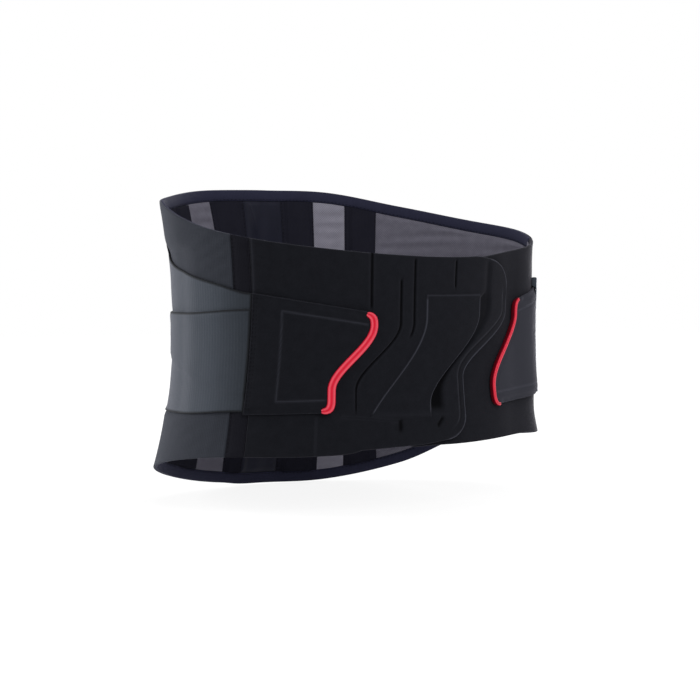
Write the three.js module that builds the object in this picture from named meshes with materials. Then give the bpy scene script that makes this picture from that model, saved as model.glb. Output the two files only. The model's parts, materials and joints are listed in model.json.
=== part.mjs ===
import * as THREE from "three";

// Lumbar support belt, closed as worn. Millimetres, +Z up, the front faces -Y and +X is the wearer's left.
// The origin is the centre of the waistline. A place on the belt is (u, z, offset): u is the length along
// the waistline from the front centre towards the wearer's left, z the height over the waistline, and
// offset the distance out from the belt's outer face.

// The worn loop: outer face at the waistline, and how it widens above and below
const WAIST_HALF_WIDTH = 163.5;
const WAIST_HALF_DEPTH = 121.5;
const FLARE_REACH = 100;
const FLARE_ABOVE = 0.055;
const FLARE_BELOW = 0.078;

// Worn, the right side of the back leans: its top is pulled forward
const BACK_LEAN = 0.11;
const BACK_LEAN_START = 10;
const BACK_LEAN_FULL = 55;
const BACK_LEAN_EASES = 120;
const BACK_LEAN_END = 200;

// Heights of the cut edges at these angles from the front centre
const EDGE_ANGLES = [0, 40, 80, 110, 135, 160, 180];
const TOP_EDGE_LEFT = [58.5, 67, 83.5, 94, 106, 118, 118.5];
const TOP_EDGE_RIGHT = [58.5, 65, 81, 101, 108, 116, 118.5];
const BOTTOM_EDGE_LEFT = [-90.5, -87, -95, -100, -127, -141.5, -141.5];
const BOTTOM_EDGE_RIGHT = [-90.5, -96, -99.5, -110, -126, -138, -141.5];

// Fabric layers
const CLEARANCE = 0.35;
const SHELL_THICKNESS = 2.2;
const LINING_THICKNESS = 0.8;
const LINING_INSET = 3;
const FLAP_THICKNESS = 3;
const HOOK_THICKNESS = 1;
const STRAP_THICKNESS = 1.4;
const TAB_THICKNESS = 2;

// Places along the belt: the front seams from the front centre, the rest from the middle of the back panel,
// which sits a little to the wearer's right as worn. The outer pockets lie just inside the panel's edges.
const SEAM_PLACE = 165;
const SEAM_POCKET_WIDTH = 15;
const BACK_SHIFT = 3.5;
const BACK_PANEL_HALF_WIDTH = 112;
const CENTRE_LINING_HALF_WIDTH = 18.5;
const INNER_POCKET_CENTRE = 34.25;
const OUTER_POCKET_FROM_EDGE = 17.25;
const STAY_POCKET_WIDTH = 31.5;

// Stays and the pockets sewn over them
const BACK_STAY_WIDTH = 20;
const BACK_STAY_THICKNESS = 1.5;
const SIDE_STAY_WIDTH = 9;
const SIDE_STAY_THICKNESS = 1;
const STAY_CORNER = 6;
const STAY_END_ROOM = 8;
const POCKET_WALL = 0.8;
const POCKET_SEAM_WIDTH = 2;
const FACING_WIDTH = 12;
const FACING_THICKNESS = 1.2;

// Front flaps: the right one closes over the left one
const LEFT_FLAP_END = -45;
const LEFT_FLAP_CORNER = 14;
const LAP_START = 80;
const LAP_END = 136;
const LAP_STEPS = 6;
const LAP_CLEARANCE = 0.5;
const LAP_TUCK = 2;
const RIGHT_HOOK_START = -35;
const HOOK_INSET = 6;
const FLAP_TOP_CORNER = 26;
const FLAP_BOTTOM_CORNER = 14;

// Moulded relief of the right flap
const GROOVE_DEPTH = 1;
const GROOVE_HALF_WIDTH = 1.6;
const LAND_HEIGHT = 1.2;
const LAND_EDGE = 1.5;
const LAND_TOP = 28.5;
const LAND_BOTTOM = -62;
const BORDER_DEPTH = 0.6;
const VALLEY_DEPTH = 1.4;
const VALLEY_HALF_FLOOR = 3;
const VALLEY_BANK = 2.5;
const MOULD_COLUMN_STEP = 14;
const MOULD_HIGH_ROW = 12;
const MOULD_ROW_STEP = 10.5;
const GROOVE_TOP_ROW = 53;
const GROOVE_LOW_ROW = 36;

// Each mould line starts upright at "at" and sweeps by "sweep" towards the wearer's right, over the height
// "span" about "centre"
const MOULD_LINES = [
  { name: "seam", at: -SEAM_PLACE + CLEARANCE / 2, sweep: 0, centre: -20, span: 50 },
  { name: "tab groove", at: -70, sweep: 33, centre: -20, span: 50 },
  { name: "long groove", at: -45, sweep: 37.5, centre: -19, span: 52 },
  { name: "upper groove", at: -33, sweep: 41, centre: -24, span: 60 },
  { name: "land start", at: -21, sweep: 47, centre: -30, span: 84 },
  { name: "short groove", at: 7, sweep: 50, centre: -26, span: 78 },
  { name: "land end", at: 32, sweep: 54, centre: -20, span: 72 },
  { name: "valley", at: 44.5, sweep: 57, centre: -15, span: 74 },
  { name: "border", at: 68, sweep: 60, centre: -11, span: 54 },
  { name: "corner", at: 73, sweep: 59.3, centre: -11, span: 52.5 },
  { name: "free end", at: 75, sweep: 59, centre: -11, span: 52 },
];

// The lines that are pressed in, how deep, and between which rows
const GROOVES = {
  "tab groove": { depth: GROOVE_DEPTH, low: 20, high: 70 },
  "long groove": { depth: GROOVE_DEPTH, low: -60, high: GROOVE_LOW_ROW },
  "upper groove": { depth: GROOVE_DEPTH, low: -2, high: GROOVE_TOP_ROW },
  "short groove": { depth: GROOVE_DEPTH, low: GROOVE_LOW_ROW, high: GROOVE_TOP_ROW },
  valley: { depth: VALLEY_DEPTH, low: -58, high: GROOVE_TOP_ROW },
  border: { depth: BORDER_DEPTH, low: -76, high: 60 },
};

// Pull tabs. The straps meet each tab at its seam, and its free end follows a wave line with round corners.
const TAB_SEAM_PLACE = 168.5;
const TAB_SEAM_LEAN = 5;
const TAB_CORNER = 6;
const TAB_HOOK_INSET = 7;
const TAB_COLUMN_STEP = 9;
const TAB_ROW_STEP = 8;
const TABS = {
  right: {
    side: -1,
    seamTop: 28,
    seamBottom: -62,
    endTop: 17,
    endBottom: -61,
    end: { at: -69.5, sweep: 33, centre: -20, span: 50 },
  },
  left: {
    side: 1,
    seamTop: 40,
    seamBottom: -54,
    endTop: 24,
    endBottom: -61,
    end: { at: 94, sweep: 39, centre: -17, span: 58 },
  },
};

// Moulded grip on each tab's free end
const GRIP_LIP = 2.4;
const GRIP_NOSE = 3.3;
const GRIP_WALL = 0.6;
const GRIP_CROWN = 1.3;
const GRIP_BEVEL = 1;
const GRIP_GROOVE = 0.7;

// Elastic straps from the tab to the back, with the height of the upper one's top edge along its run. They
// end on the back panel, this far in from its edge.
const UPPER_STRAP_PLACES = [168, 195, 230, 257, 300, 350];
const UPPER_STRAP_RISE = [0, 7, 16, 26, 42, 55];
const STRAP_WIDTH = 77;
const STRAP_END_ON_BACK = 12;
const LOWER_STRAP_DROP = [11, 14];
const ANCHOR_WIDTH = 14;

// Facet grid shared by all layers, so that they lie on each other without crossing
const STATION_DEGREES = 6;
const LEVEL_STEP = 20;
const SHORTEST_STEP = 4;
const LOOP_SAMPLES = 1440;

const FINISHES = {
  knit: { color: 0x3c3f45, roughness: 0.85, metalness: 0 },
  elastic: { color: 0x4f5560, roughness: 0.8, metalness: 0 },
  loop: { color: 0x17181c, roughness: 0.95, metalness: 0 },
  mesh: { color: 0x6c6a75, roughness: 0.9, metalness: 0 },
  satin: { color: 0x23232e, roughness: 0.5, metalness: 0 },
  tape: { color: 0x15161f, roughness: 0.8, metalness: 0 },
  hook: { color: 0x101114, roughness: 1, metalness: 0 },
  rubber: { color: 0xc5203a, roughness: 0.45, metalness: 0 },
  steel: { color: 0x9a9da3, roughness: 0.35, metalness: 0.9 },
  plastic: { color: 0xd8d8d2, roughness: 0.5, metalness: 0 },
};

const radians = THREE.MathUtils.degToRad;
const lerp = THREE.MathUtils.lerp;
const smooth = (value, start, end) => THREE.MathUtils.smoothstep(value, start, end);

// Lengths along the waistline ellipse, one turn from the front centre towards the wearer's left
function waistPoint(angle) {
  return [WAIST_HALF_WIDTH * Math.sin(angle), -WAIST_HALF_DEPTH * Math.cos(angle)];
}

const arcLengths = [0];
for (let i = 1; i <= LOOP_SAMPLES; i += 1) {
  const [x0, y0] = waistPoint((2 * Math.PI * (i - 1)) / LOOP_SAMPLES);
  const [x1, y1] = waistPoint((2 * Math.PI * i) / LOOP_SAMPLES);
  arcLengths.push(arcLengths[i - 1] + Math.hypot(x1 - x0, y1 - y0));
}
const GIRTH = arcLengths[LOOP_SAMPLES];
const BACK_CENTRE = GIRTH / 2;
const BACK_MIDDLE = BACK_CENTRE + BACK_SHIFT;

function wrap(u) {
  return u - GIRTH * Math.floor(u / GIRTH);
}

function angleAt(u) {
  const length = wrap(u);
  let low = 0;
  let high = LOOP_SAMPLES;
  while (high - low > 1) {
    const middle = (low + high) >> 1;
    if (arcLengths[middle] <= length) low = middle;
    else high = middle;
  }
  const share = (length - arcLengths[low]) / (arcLengths[high] - arcLengths[low]);
  return (2 * Math.PI * (low + share)) / LOOP_SAMPLES;
}

function flare(z) {
  return 1 + (z > 0 ? FLARE_ABOVE : FLARE_BELOW) * (z / FLARE_REACH) ** 2;
}

function backLean(u) {
  const behind = wrap(u) - BACK_CENTRE;
  const rise = smooth(behind, BACK_LEAN_START, BACK_LEAN_FULL);
  return BACK_LEAN * rise * (1 - smooth(behind, BACK_LEAN_EASES, BACK_LEAN_END));
}

// The point in space of a place on the belt
function place(u, z, offset) {
  const angle = angleAt(u + backLean(u) * z);
  const sine = Math.sin(angle);
  const cosine = Math.cos(angle);
  const normal = new THREE.Vector2(sine / WAIST_HALF_WIDTH, -cosine / WAIST_HALF_DEPTH).normalize();
  const scale = flare(z);
  return new THREE.Vector3(
    WAIST_HALF_WIDTH * sine * scale + normal.x * offset,
    -WAIST_HALF_DEPTH * cosine * scale + normal.y * offset,
    z,
  );
}

// A smooth curve through values at rising places, level at both ends
function curveThrough(places, values) {
  const last = places.length - 1;
  const slopes = values.map((value, i) => {
    if (i === 0 || i === last) return 0;
    const before = (value - values[i - 1]) / (places[i] - places[i - 1]);
    const after = (values[i + 1] - value) / (places[i + 1] - places[i]);
    const share = (places[i] - places[i - 1]) / (places[i + 1] - places[i - 1]);
    return lerp(before, after, share);
  });
  return (at) => {
    const x = THREE.MathUtils.clamp(at, places[0], places[last]);
    let i = 0;
    while (i < last - 1 && x > places[i + 1]) i += 1;
    const width = places[i + 1] - places[i];
    const t = (x - places[i]) / width;
    const rise = values[i + 1] - values[i];
    const a = slopes[i] * width - rise;
    const b = -slopes[i + 1] * width + rise;
    return values[i] + rise * t + t * (1 - t) * (a * (1 - t) + b * t);
  };
}

function edgeCurve(left, right) {
  const leftCurve = curveThrough(EDGE_ANGLES, left);
  const rightCurve = curveThrough(EDGE_ANGLES, right);
  return (u) => {
    const degrees = THREE.MathUtils.radToDeg(angleAt(u));
    return degrees <= 180 ? leftCurve(degrees) : rightCurve(360 - degrees);
  };
}

const topEdge = edgeCurve(TOP_EDGE_LEFT, TOP_EDGE_RIGHT);
const bottomEdge = edgeCurve(BOTTOM_EDGE_LEFT, BOTTOM_EDGE_RIGHT);

// How far a corner of this radius cuts into an edge, at this distance from the end
function cornerCut(distance, radius) {
  if (distance >= radius) return 0;
  const reach = radius - Math.max(distance, 0);
  return radius - Math.sqrt(radius * radius - reach * reach);
}

// Shared stations along the belt between two places, with the places themselves
function stations(from, to, extra = []) {
  const step = radians(STATION_DEGREES);
  const found = [from, to, ...extra];
  const perTurn = Math.round(360 / STATION_DEGREES);
  for (let k = -perTurn; k <= 2 * perTurn; k += 1) {
    const turn = Math.floor(k / perTurn);
    const index = Math.round((((k - turn * perTurn) * step) / (2 * Math.PI)) * LOOP_SAMPLES);
    const u = turn * GIRTH + arcLengths[index];
    if (found.every((other) => Math.abs(other - u) > SHORTEST_STEP) && u > from && u < to) found.push(u);
  }
  return found.sort((a, b) => a - b);
}

// Shared levels between two heights, with the heights themselves
function levels(low, high) {
  const found = [low];
  for (let k = Math.ceil(low / LEVEL_STEP); k * LEVEL_STEP < high; k += 1) {
    const z = k * LEVEL_STEP;
    if (z - low > SHORTEST_STEP && high - z > SHORTEST_STEP) found.push(z);
  }
  return [...found, high];
}

// A closed mesh from its vertices and faces, turned to face out
function closedGeometry(vertices, faces) {
  let volume = 0;
  for (const [a, b, c] of faces) {
    volume += vertices[a].dot(new THREE.Vector3().crossVectors(vertices[b], vertices[c]));
  }
  const turned = volume < 0 ? faces.map(([a, b, c]) => [a, c, b]) : faces;
  const geometry = new THREE.BufferGeometry();
  const positions = vertices.flatMap((vertex) => vertex.toArray());
  geometry.setAttribute("position", new THREE.Float32BufferAttribute(positions, 3));
  geometry.setIndex(turned.flat());
  geometry.computeVertexNormals();
  return geometry;
}

// One cut of fabric: columns of { u, z, outer, inner } from bottom to top, as two faces closed round the
// edge. Columns with paired rows are joined row by row, others by height.
function fabric(columns, paired = false) {
  const vertices = [];
  const outer = [];
  const inner = [];
  for (const column of columns) {
    outer.push(column.map((p) => vertices.push(place(p.u, p.z, p.outer)) - 1));
    inner.push(column.map((p) => vertices.push(place(p.u, p.z, p.inner)) - 1));
  }
  const faces = [];
  const wall = (out, into) => faces.push([out[0], into[0], into[1]], [out[0], into[1], out[1]]);
  for (let i = 0; i + 1 < columns.length; i += 1) {
    const left = columns[i];
    const right = columns[i + 1];
    let l = 0;
    let r = 0;
    while (l + 1 < left.length || r + 1 < right.length) {
      const rightIsNext = paired ? r <= l : right[r + 1]?.z <= left[l + 1]?.z;
      if (l + 1 === left.length || (r + 1 < right.length && rightIsNext)) {
        faces.push([outer[i][l], outer[i + 1][r], outer[i + 1][r + 1]]);
        faces.push([inner[i][l], inner[i + 1][r + 1], inner[i + 1][r]]);
        r += 1;
      } else {
        faces.push([outer[i][l], outer[i + 1][r], outer[i][l + 1]]);
        faces.push([inner[i][l], inner[i][l + 1], inner[i + 1][r]]);
        l += 1;
      }
    }
    wall([outer[i][0], outer[i + 1][0]], [inner[i][0], inner[i + 1][0]]);
    wall([outer[i + 1].at(-1), outer[i].at(-1)], [inner[i + 1].at(-1), inner[i].at(-1)]);
  }
  const first = { outer: outer[0], inner: inner[0] };
  const last = { outer: outer.at(-1), inner: inner.at(-1) };
  for (let j = 0; j + 1 < first.outer.length; j += 1) {
    wall([first.outer[j + 1], first.outer[j]], [first.inner[j + 1], first.inner[j]]);
  }
  for (let j = 0; j + 1 < last.outer.length; j += 1) {
    wall([last.outer[j], last.outer[j + 1]], [last.inner[j], last.inner[j + 1]]);
  }
  return closedGeometry(vertices, faces);
}

// A cut of fabric between two places and two edges, of one thickness, with its outer face at an offset
function panel({ from, to, bottom, top, outer, thickness, extra, shift = () => 0 }) {
  const columns = stations(from, to, extra).map((u) =>
    levels(bottom(u), top(u)).map((z) => {
      const offset = typeof outer === "function" ? outer(u) : outer;
      return { u: u + shift(u, z), z, outer: offset, inner: offset - thickness };
    }),
  );
  return fabric(columns);
}

// A body swept from rings of points with the same count, closed by a cap at each end
function sweep(rings, section) {
  const count = section.length;
  const vertices = rings.flat();
  const faces = [];
  for (let i = 0; i + 1 < rings.length; i += 1) {
    for (let k = 0; k < count; k += 1) {
      const a = i * count + k;
      const b = i * count + ((k + 1) % count);
      faces.push([a, b, b + count], [a, b + count, a + count]);
    }
  }
  const cap = THREE.ShapeUtils.triangulateShape(section, []);
  const turn = THREE.ShapeUtils.isClockWise(section) ? 1 : -1;
  const last = (rings.length - 1) * count;
  for (const [a, b, c] of cap) {
    faces.push(turn > 0 ? [a, b, c] : [a, c, b]);
    faces.push(turn > 0 ? [last + a, last + c, last + b] : [last + a, last + b, last + c]);
  }
  return closedGeometry(vertices, faces);
}

const body = (name) => {
  const group = new THREE.Group();
  group.name = name;
  return group;
};

const belt = body("belt");
const rightFlapBody = body("right flap");
const leftFlapBody = body("left flap");
const rightTabBody = body("right tab");
const leftTabBody = body("left tab");
belt.add(rightFlapBody, leftFlapBody);
rightFlapBody.add(rightTabBody);
leftFlapBody.add(leftTabBody);

function add(group, name, geometry, finish) {
  const mesh = new THREE.Mesh(geometry, new THREE.MeshStandardMaterial(finish));
  mesh.name = name;
  group.add(mesh);
}

const SIDES = [
  { name: "right", side: -1 },
  { name: "left", side: 1 },
];

// Places on one side: at a distance from the front centre, or at a distance from the middle of the back
const fromFrontCentre = (side, distance) => (side > 0 ? distance : GIRTH - distance);
const fromBackMiddle = (side, distance) => BACK_MIDDLE - side * distance;
const rising = (a, b) => [Math.min(a, b), Math.max(a, b)];
const outerPocketCentre = BACK_PANEL_HALF_WIDTH - OUTER_POCKET_FROM_EDGE;
const inside = -SHELL_THICKNESS - CLEARANCE;
const halfGap = CLEARANCE / 2;
const facingTop = (u) => topEdge(u) - FACING_WIDTH;
const facingBottom = (u) => bottomEdge(u) + FACING_WIDTH;
const liningTop = (u) => facingTop(u) - CLEARANCE;
const liningBottom = (u) => facingBottom(u) + CLEARANCE;

// Back panel and its facings
function addBack() {
  add(belt, "back_panel", panel({
    from: BACK_MIDDLE - BACK_PANEL_HALF_WIDTH + halfGap,
    to: BACK_MIDDLE + BACK_PANEL_HALF_WIDTH - halfGap,
    bottom: bottomEdge,
    top: topEdge,
    outer: 0,
    thickness: SHELL_THICKNESS,
  }), FINISHES.knit);
  add(belt, "back_centre_lining", panel({
    from: BACK_MIDDLE - CENTRE_LINING_HALF_WIDTH + halfGap,
    to: BACK_MIDDLE + CENTRE_LINING_HALF_WIDTH - halfGap,
    bottom: liningBottom,
    top: liningTop,
    outer: inside,
    thickness: LINING_THICKNESS,
  }), FINISHES.satin);
  const round = { from: SEAM_PLACE + halfGap, to: GIRTH - SEAM_PLACE - halfGap, outer: inside };
  add(belt, "top_facing", panel({
    ...round,
    bottom: facingTop,
    top: (u) => topEdge(u) - CLEARANCE,
    thickness: FACING_THICKNESS,
  }), FINISHES.tape);
  add(belt, "bottom_facing", panel({
    ...round,
    bottom: (u) => bottomEdge(u) + CLEARANCE,
    top: facingBottom,
    thickness: FACING_THICKNESS,
  }), FINISHES.tape);
}

// A pocket is a strip of tape with a turned edge down each side, open towards the layer that it is sewn to.
// Its walls stand towards "open", and the stay lies between them.
function pocket(centre, width, depth, face, open, bottom, top) {
  const half = width / 2;
  const wallTo = half - POCKET_SEAM_WIDTH;
  const section = [
    new THREE.Vector2(-half, face),
    new THREE.Vector2(half, face),
    new THREE.Vector2(half, face + open * depth),
    new THREE.Vector2(wallTo, face + open * depth),
    new THREE.Vector2(wallTo, face + open * POCKET_WALL),
    new THREE.Vector2(-wallTo, face + open * POCKET_WALL),
    new THREE.Vector2(-wallTo, face + open * depth),
    new THREE.Vector2(-half, face + open * depth),
  ];
  const rings = levels(bottom(centre), top(centre)).map((z, i, all) =>
    section.map((p) => {
      const u = centre + p.x;
      if (i === 0) return place(u, bottom(u), p.y);
      return place(u, i === all.length - 1 ? top(u) : z, p.y);
    }),
  );
  return sweep(rings, section);
}

// A stay is a flat bar with round corners that follows the worn shape
function stay(centre, width, thickness, outer, bottom, top) {
  const half = width / 2;
  const cut = (u) => cornerCut(half - Math.abs(u - centre), STAY_CORNER);
  return panel({
    from: centre - half,
    to: centre + half,
    extra: [centre - half + STAY_CORNER / 2, centre + half - STAY_CORNER / 2],
    bottom: (u) => bottom(u) + STAY_END_ROOM + cut(u),
    top: (u) => top(u) - STAY_END_ROOM - cut(u),
    outer,
    thickness,
  });
}

const pocketFace = inside - BACK_STAY_THICKNESS - CLEARANCE - POCKET_WALL;
const POCKET_CENTRES = { inner: INNER_POCKET_CENTRE, outer: outerPocketCentre };

// Stays of the back in pockets on the inside, with a strip of mesh between the two pockets of each side
function addBackStays({ name, side }) {
  for (const [row, fromMiddle] of Object.entries(POCKET_CENTRES)) {
    const centre = fromBackMiddle(side, fromMiddle);
    add(belt, `${row}_stay_pocket_${name}`,
      pocket(centre, STAY_POCKET_WIDTH, inside - pocketFace, pocketFace, 1, liningBottom, liningTop),
      FINISHES.tape);
    add(belt, `${row}_stay_${name}`,
      stay(centre, BACK_STAY_WIDTH, BACK_STAY_THICKNESS, inside, liningBottom, liningTop),
      FINISHES.steel);
  }
  const nearest = INNER_POCKET_CENTRE + STAY_POCKET_WIDTH / 2 + CLEARANCE;
  const furthest = outerPocketCentre - STAY_POCKET_WIDTH / 2 - CLEARANCE;
  const [from, to] = rising(fromBackMiddle(side, nearest), fromBackMiddle(side, furthest));
  add(belt, `back_mesh_strip_${name}`, panel({
    from,
    to,
    bottom: liningBottom,
    top: liningTop,
    outer: inside,
    thickness: LINING_THICKNESS,
  }), FINISHES.mesh);
}

// Side panels with their mesh lining, and the pocket with a stay at each front seam
function addSide({ name, side }) {
  const [from, to] = rising(
    fromFrontCentre(side, SEAM_PLACE + SEAM_POCKET_WIDTH + halfGap),
    fromBackMiddle(side, BACK_PANEL_HALF_WIDTH + halfGap),
  );
  add(belt, `side_panel_${name}`, panel({
    from,
    to,
    bottom: bottomEdge,
    top: topEdge,
    outer: 0,
    thickness: SHELL_THICKNESS,
  }), FINISHES.knit);
  const [liningStart, liningEnd] = rising(
    fromFrontCentre(side, SEAM_PLACE + halfGap),
    fromBackMiddle(side, outerPocketCentre + STAY_POCKET_WIDTH / 2 + CLEARANCE),
  );
  add(belt, `side_lining_${name}`, panel({
    from: liningStart,
    to: liningEnd,
    bottom: liningBottom,
    top: liningTop,
    outer: inside,
    thickness: LINING_THICKNESS,
  }), FINISHES.mesh);
  const centre = fromFrontCentre(side, SEAM_PLACE + SEAM_POCKET_WIDTH / 2);
  add(belt, `seam_pocket_${name}`,
    pocket(centre, SEAM_POCKET_WIDTH - CLEARANCE, SHELL_THICKNESS, 0, -1, bottomEdge, topEdge),
    FINISHES.tape);
  add(belt, `seam_stay_${name}`,
    stay(centre, SIDE_STAY_WIDTH, SIDE_STAY_THICKNESS, -POCKET_WALL - CLEARANCE, bottomEdge, topEdge),
    FINISHES.plastic);
}

// The left flap drops under the right one's hook patch, and rises again beyond its free end
const lapDrop = FLAP_THICKNESS + CLEARANCE + HOOK_THICKNESS + LAP_CLEARANCE;
const fromFront = (u) => (u > BACK_CENTRE ? u - GIRTH : u);
const leftFlapFace = (u) => -lapDrop * (1 - smooth(fromFront(u), LAP_START, LAP_END));
const lapTuck = (u) => LAP_TUCK * (1 - smooth(fromFront(u), FLAP_BOTTOM_CORNER, LAP_START));

function addLeftFlap() {
  const cut = (u) => cornerCut(u - LEFT_FLAP_END, LEFT_FLAP_CORNER);
  const top = (u) => topEdge(u) - lapTuck(u) - cut(u);
  const bottom = (u) => bottomEdge(u) + lapTuck(u) + cut(u);
  const extra = [LEFT_FLAP_END + LEFT_FLAP_CORNER / 4, LEFT_FLAP_END + LEFT_FLAP_CORNER];
  for (let k = 0; k <= LAP_STEPS; k += 1) extra.push(lerp(LAP_START, LAP_END, k / LAP_STEPS));
  add(leftFlapBody, "left_flap", panel({
    from: LEFT_FLAP_END,
    to: SEAM_PLACE - halfGap,
    extra,
    bottom,
    top,
    outer: leftFlapFace,
    thickness: FLAP_THICKNESS,
  }), FINISHES.loop);
  add(leftFlapBody, "left_flap_lining", panel({
    from: LEFT_FLAP_END + LINING_INSET,
    to: SEAM_PLACE - halfGap,
    extra: [LEFT_FLAP_END + LEFT_FLAP_CORNER],
    bottom: (u) => bottom(u) + LINING_INSET,
    top: (u) => top(u) - LINING_INSET,
    outer: (u) => leftFlapFace(u) - FLAP_THICKNESS - CLEARANCE,
    thickness: LINING_THICKNESS,
  }), FINISHES.mesh);
}

// The place of a wave line at a height
function waveAt(line, z) {
  return line.at - line.sweep * smooth(line.centre + line.span / 2 - z, 0, line.span);
}

function between(a, b, share) {
  return {
    at: lerp(a.at, b.at, share),
    sweep: lerp(a.sweep, b.sweep, share),
    centre: lerp(a.centre, b.centre, share),
    span: lerp(a.span, b.span, share),
  };
}

const shifted = (line, by, relief) => ({ ...between(line, line, 0), at: line.at + by, relief });
const landRelief = (z) => (z > LAND_BOTTOM && z < LAND_TOP ? LAND_HEIGHT : 0);
const flat = () => 0;

// The columns that one mould line needs: groove shoulders and floor, the land's step, or the line alone
function lineColumns(line) {
  const groove = GROOVES[line.name];
  const cut = (z) => (z >= groove.low && z <= groove.high ? -groove.depth : 0);
  if (line.name === "land start") return [shifted(line, 0, flat), shifted(line, LAND_EDGE, landRelief)];
  if (line.name === "land end") return [shifted(line, 0, landRelief), shifted(line, LAND_EDGE, flat)];
  if (!groove) return [shifted(line, 0, flat)];
  if (line.name === "valley") {
    return [
      shifted(line, -VALLEY_HALF_FLOOR, cut),
      shifted(line, VALLEY_HALF_FLOOR, cut),
      shifted(line, VALLEY_HALF_FLOOR + VALLEY_BANK, flat),
    ];
  }
  return [
    shifted(line, -GROOVE_HALF_WIDTH, flat),
    shifted(line, 0, cut),
    shifted(line, GROOVE_HALF_WIDTH, flat),
  ];
}

function mouldColumns() {
  const columns = [];
  let ground = flat;
  for (const line of MOULD_LINES) {
    const own = lineColumns(line);
    const before = columns.at(-1);
    const fills = before ? Math.ceil((own[0].at - before.at) / MOULD_COLUMN_STEP) - 1 : 0;
    for (let k = 1; k <= fills; k += 1) {
      columns.push({ ...between(before, own[0], k / (fills + 1)), relief: ground });
    }
    columns.push(...own);
    if (line.name === "land start") ground = landRelief;
    if (line.name === "land end") ground = flat;
  }
  return columns;
}

const frontTop = TOP_EDGE_RIGHT[0];
const frontBottom = BOTTOM_EDGE_RIGHT[0];
const freeEnd = MOULD_LINES.at(-1);

// Row heights of the mould at the front centre, close together where the lines sweep
function mouldRows() {
  const keys = [
    frontBottom,
    LAND_BOTTOM,
    LAND_BOTTOM + LAND_EDGE,
    MOULD_HIGH_ROW,
    LAND_TOP - LAND_EDGE,
    LAND_TOP,
    GROOVE_LOW_ROW,
    GROOVE_TOP_ROW,
    frontTop,
  ];
  const rows = [keys[0]];
  for (let i = 1; i < keys.length; i += 1) {
    const steps = Math.ceil((keys[i] - keys[i - 1]) / MOULD_ROW_STEP);
    for (let k = 1; k <= steps; k += 1) rows.push(lerp(keys[i - 1], keys[i], k / steps));
  }
  return rows;
}

// The height of a row in a column, stretched to the column's own edges outside the sweeping part
function rowHeight(row, top, bottom) {
  if (row > MOULD_HIGH_ROW) {
    return MOULD_HIGH_ROW + ((row - MOULD_HIGH_ROW) * (top - MOULD_HIGH_ROW)) / (frontTop - MOULD_HIGH_ROW);
  }
  if (row < LAND_BOTTOM) {
    return LAND_BOTTOM - ((LAND_BOTTOM - row) * (LAND_BOTTOM - bottom)) / (LAND_BOTTOM - frontBottom);
  }
  return row;
}

function flapTopAt(line) {
  return topEdge(line.at) - cornerCut(freeEnd.at - line.at, FLAP_TOP_CORNER);
}

function flapBottomAt(line) {
  const foot = line.at - line.sweep;
  return bottomEdge(foot) + cornerCut(freeEnd.at - freeEnd.sweep - foot, FLAP_BOTTOM_CORNER);
}

function addRightFlap() {
  const rows = mouldRows();
  const columns = mouldColumns().map((line) =>
    rows.map((row) => {
      const z = rowHeight(row, flapTopAt(line), flapBottomAt(line));
      return { u: waveAt(line, z), z, outer: line.relief(row), inner: -FLAP_THICKNESS };
    }),
  );
  add(rightFlapBody, "right_flap", fabric(columns, true), FINISHES.loop);
  add(rightFlapBody, "right_flap_lining", panel({
    from: GIRTH - SEAM_PLACE + halfGap,
    to: GIRTH + RIGHT_HOOK_START - CLEARANCE,
    bottom: (u) => bottomEdge(u) + LINING_INSET,
    top: (u) => topEdge(u) - LINING_INSET,
    outer: -FLAP_THICKNESS - CLEARANCE,
    thickness: LINING_THICKNESS,
  }), FINISHES.mesh);
  add(rightFlapBody, "right_flap_hook", rightHook(rows), FINISHES.hook);
}

// The hook patch fills the inside of the right flap's end, one inset in from its cut edge
function rightHook(rows) {
  const start = { at: RIGHT_HOOK_START, sweep: 0, centre: freeEnd.centre, span: freeEnd.span };
  const end = { ...freeEnd, at: freeEnd.at - HOOK_INSET };
  const steps = Math.ceil((end.at - start.at) / MOULD_COLUMN_STEP);
  const columns = [];
  for (let k = 0; k <= steps; k += 1) {
    const line = between(start, end, k / steps);
    const top = flapTopAt(line) - HOOK_INSET;
    const bottom = flapBottomAt(line) + HOOK_INSET;
    columns.push(rows.filter((row) => row !== LAND_TOP && row !== LAND_BOTTOM).map((row) => {
      const z = rowHeight(row, top, bottom);
      const outer = -FLAP_THICKNESS - CLEARANCE;
      return { u: waveAt(line, z), z, outer, inner: outer - HOOK_THICKNESS };
    }));
  }
  return fabric(columns, true);
}

// Tabs, grips and straps are worked out in lengths from the front centre, then placed on their side
const tabMiddle = (tab) => (tab.seamTop + tab.seamBottom) / 2;
const seamDistance = (tab, z) =>
  TAB_SEAM_PLACE - (TAB_SEAM_LEAN * (z - tabMiddle(tab))) / (tab.seamTop - tab.seamBottom);

// The tab's cut outline at its free end, bottom to top, with a round corner at each end of the wave line
function tabEnd(tab) {
  const seamPoint = (z) => new THREE.Vector2(tab.side * seamDistance(tab, z), z);
  const wavePoint = (z) => new THREE.Vector2(waveAt(tab.end, z), z);
  const corner = (from, at, seamZ) => {
    const along = seamPoint(seamZ).sub(at).setLength(TAB_CORNER).add(at);
    const curve = new THREE.QuadraticBezierCurve(along, at, wavePoint(from));
    return curve.getPoints(2);
  };
  const low = tab.endBottom + TAB_CORNER;
  const high = tab.endTop - TAB_CORNER;
  const wave = [];
  const steps = Math.round((high - low) / TAB_ROW_STEP);
  for (let k = 1; k < steps; k += 1) wave.push(wavePoint(lerp(low, high, k / steps)));
  return [
    ...corner(low, wavePoint(tab.endBottom), tab.seamBottom),
    ...wave,
    ...corner(high, wavePoint(tab.endTop), tab.seamTop).reverse(),
  ];
}

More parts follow.
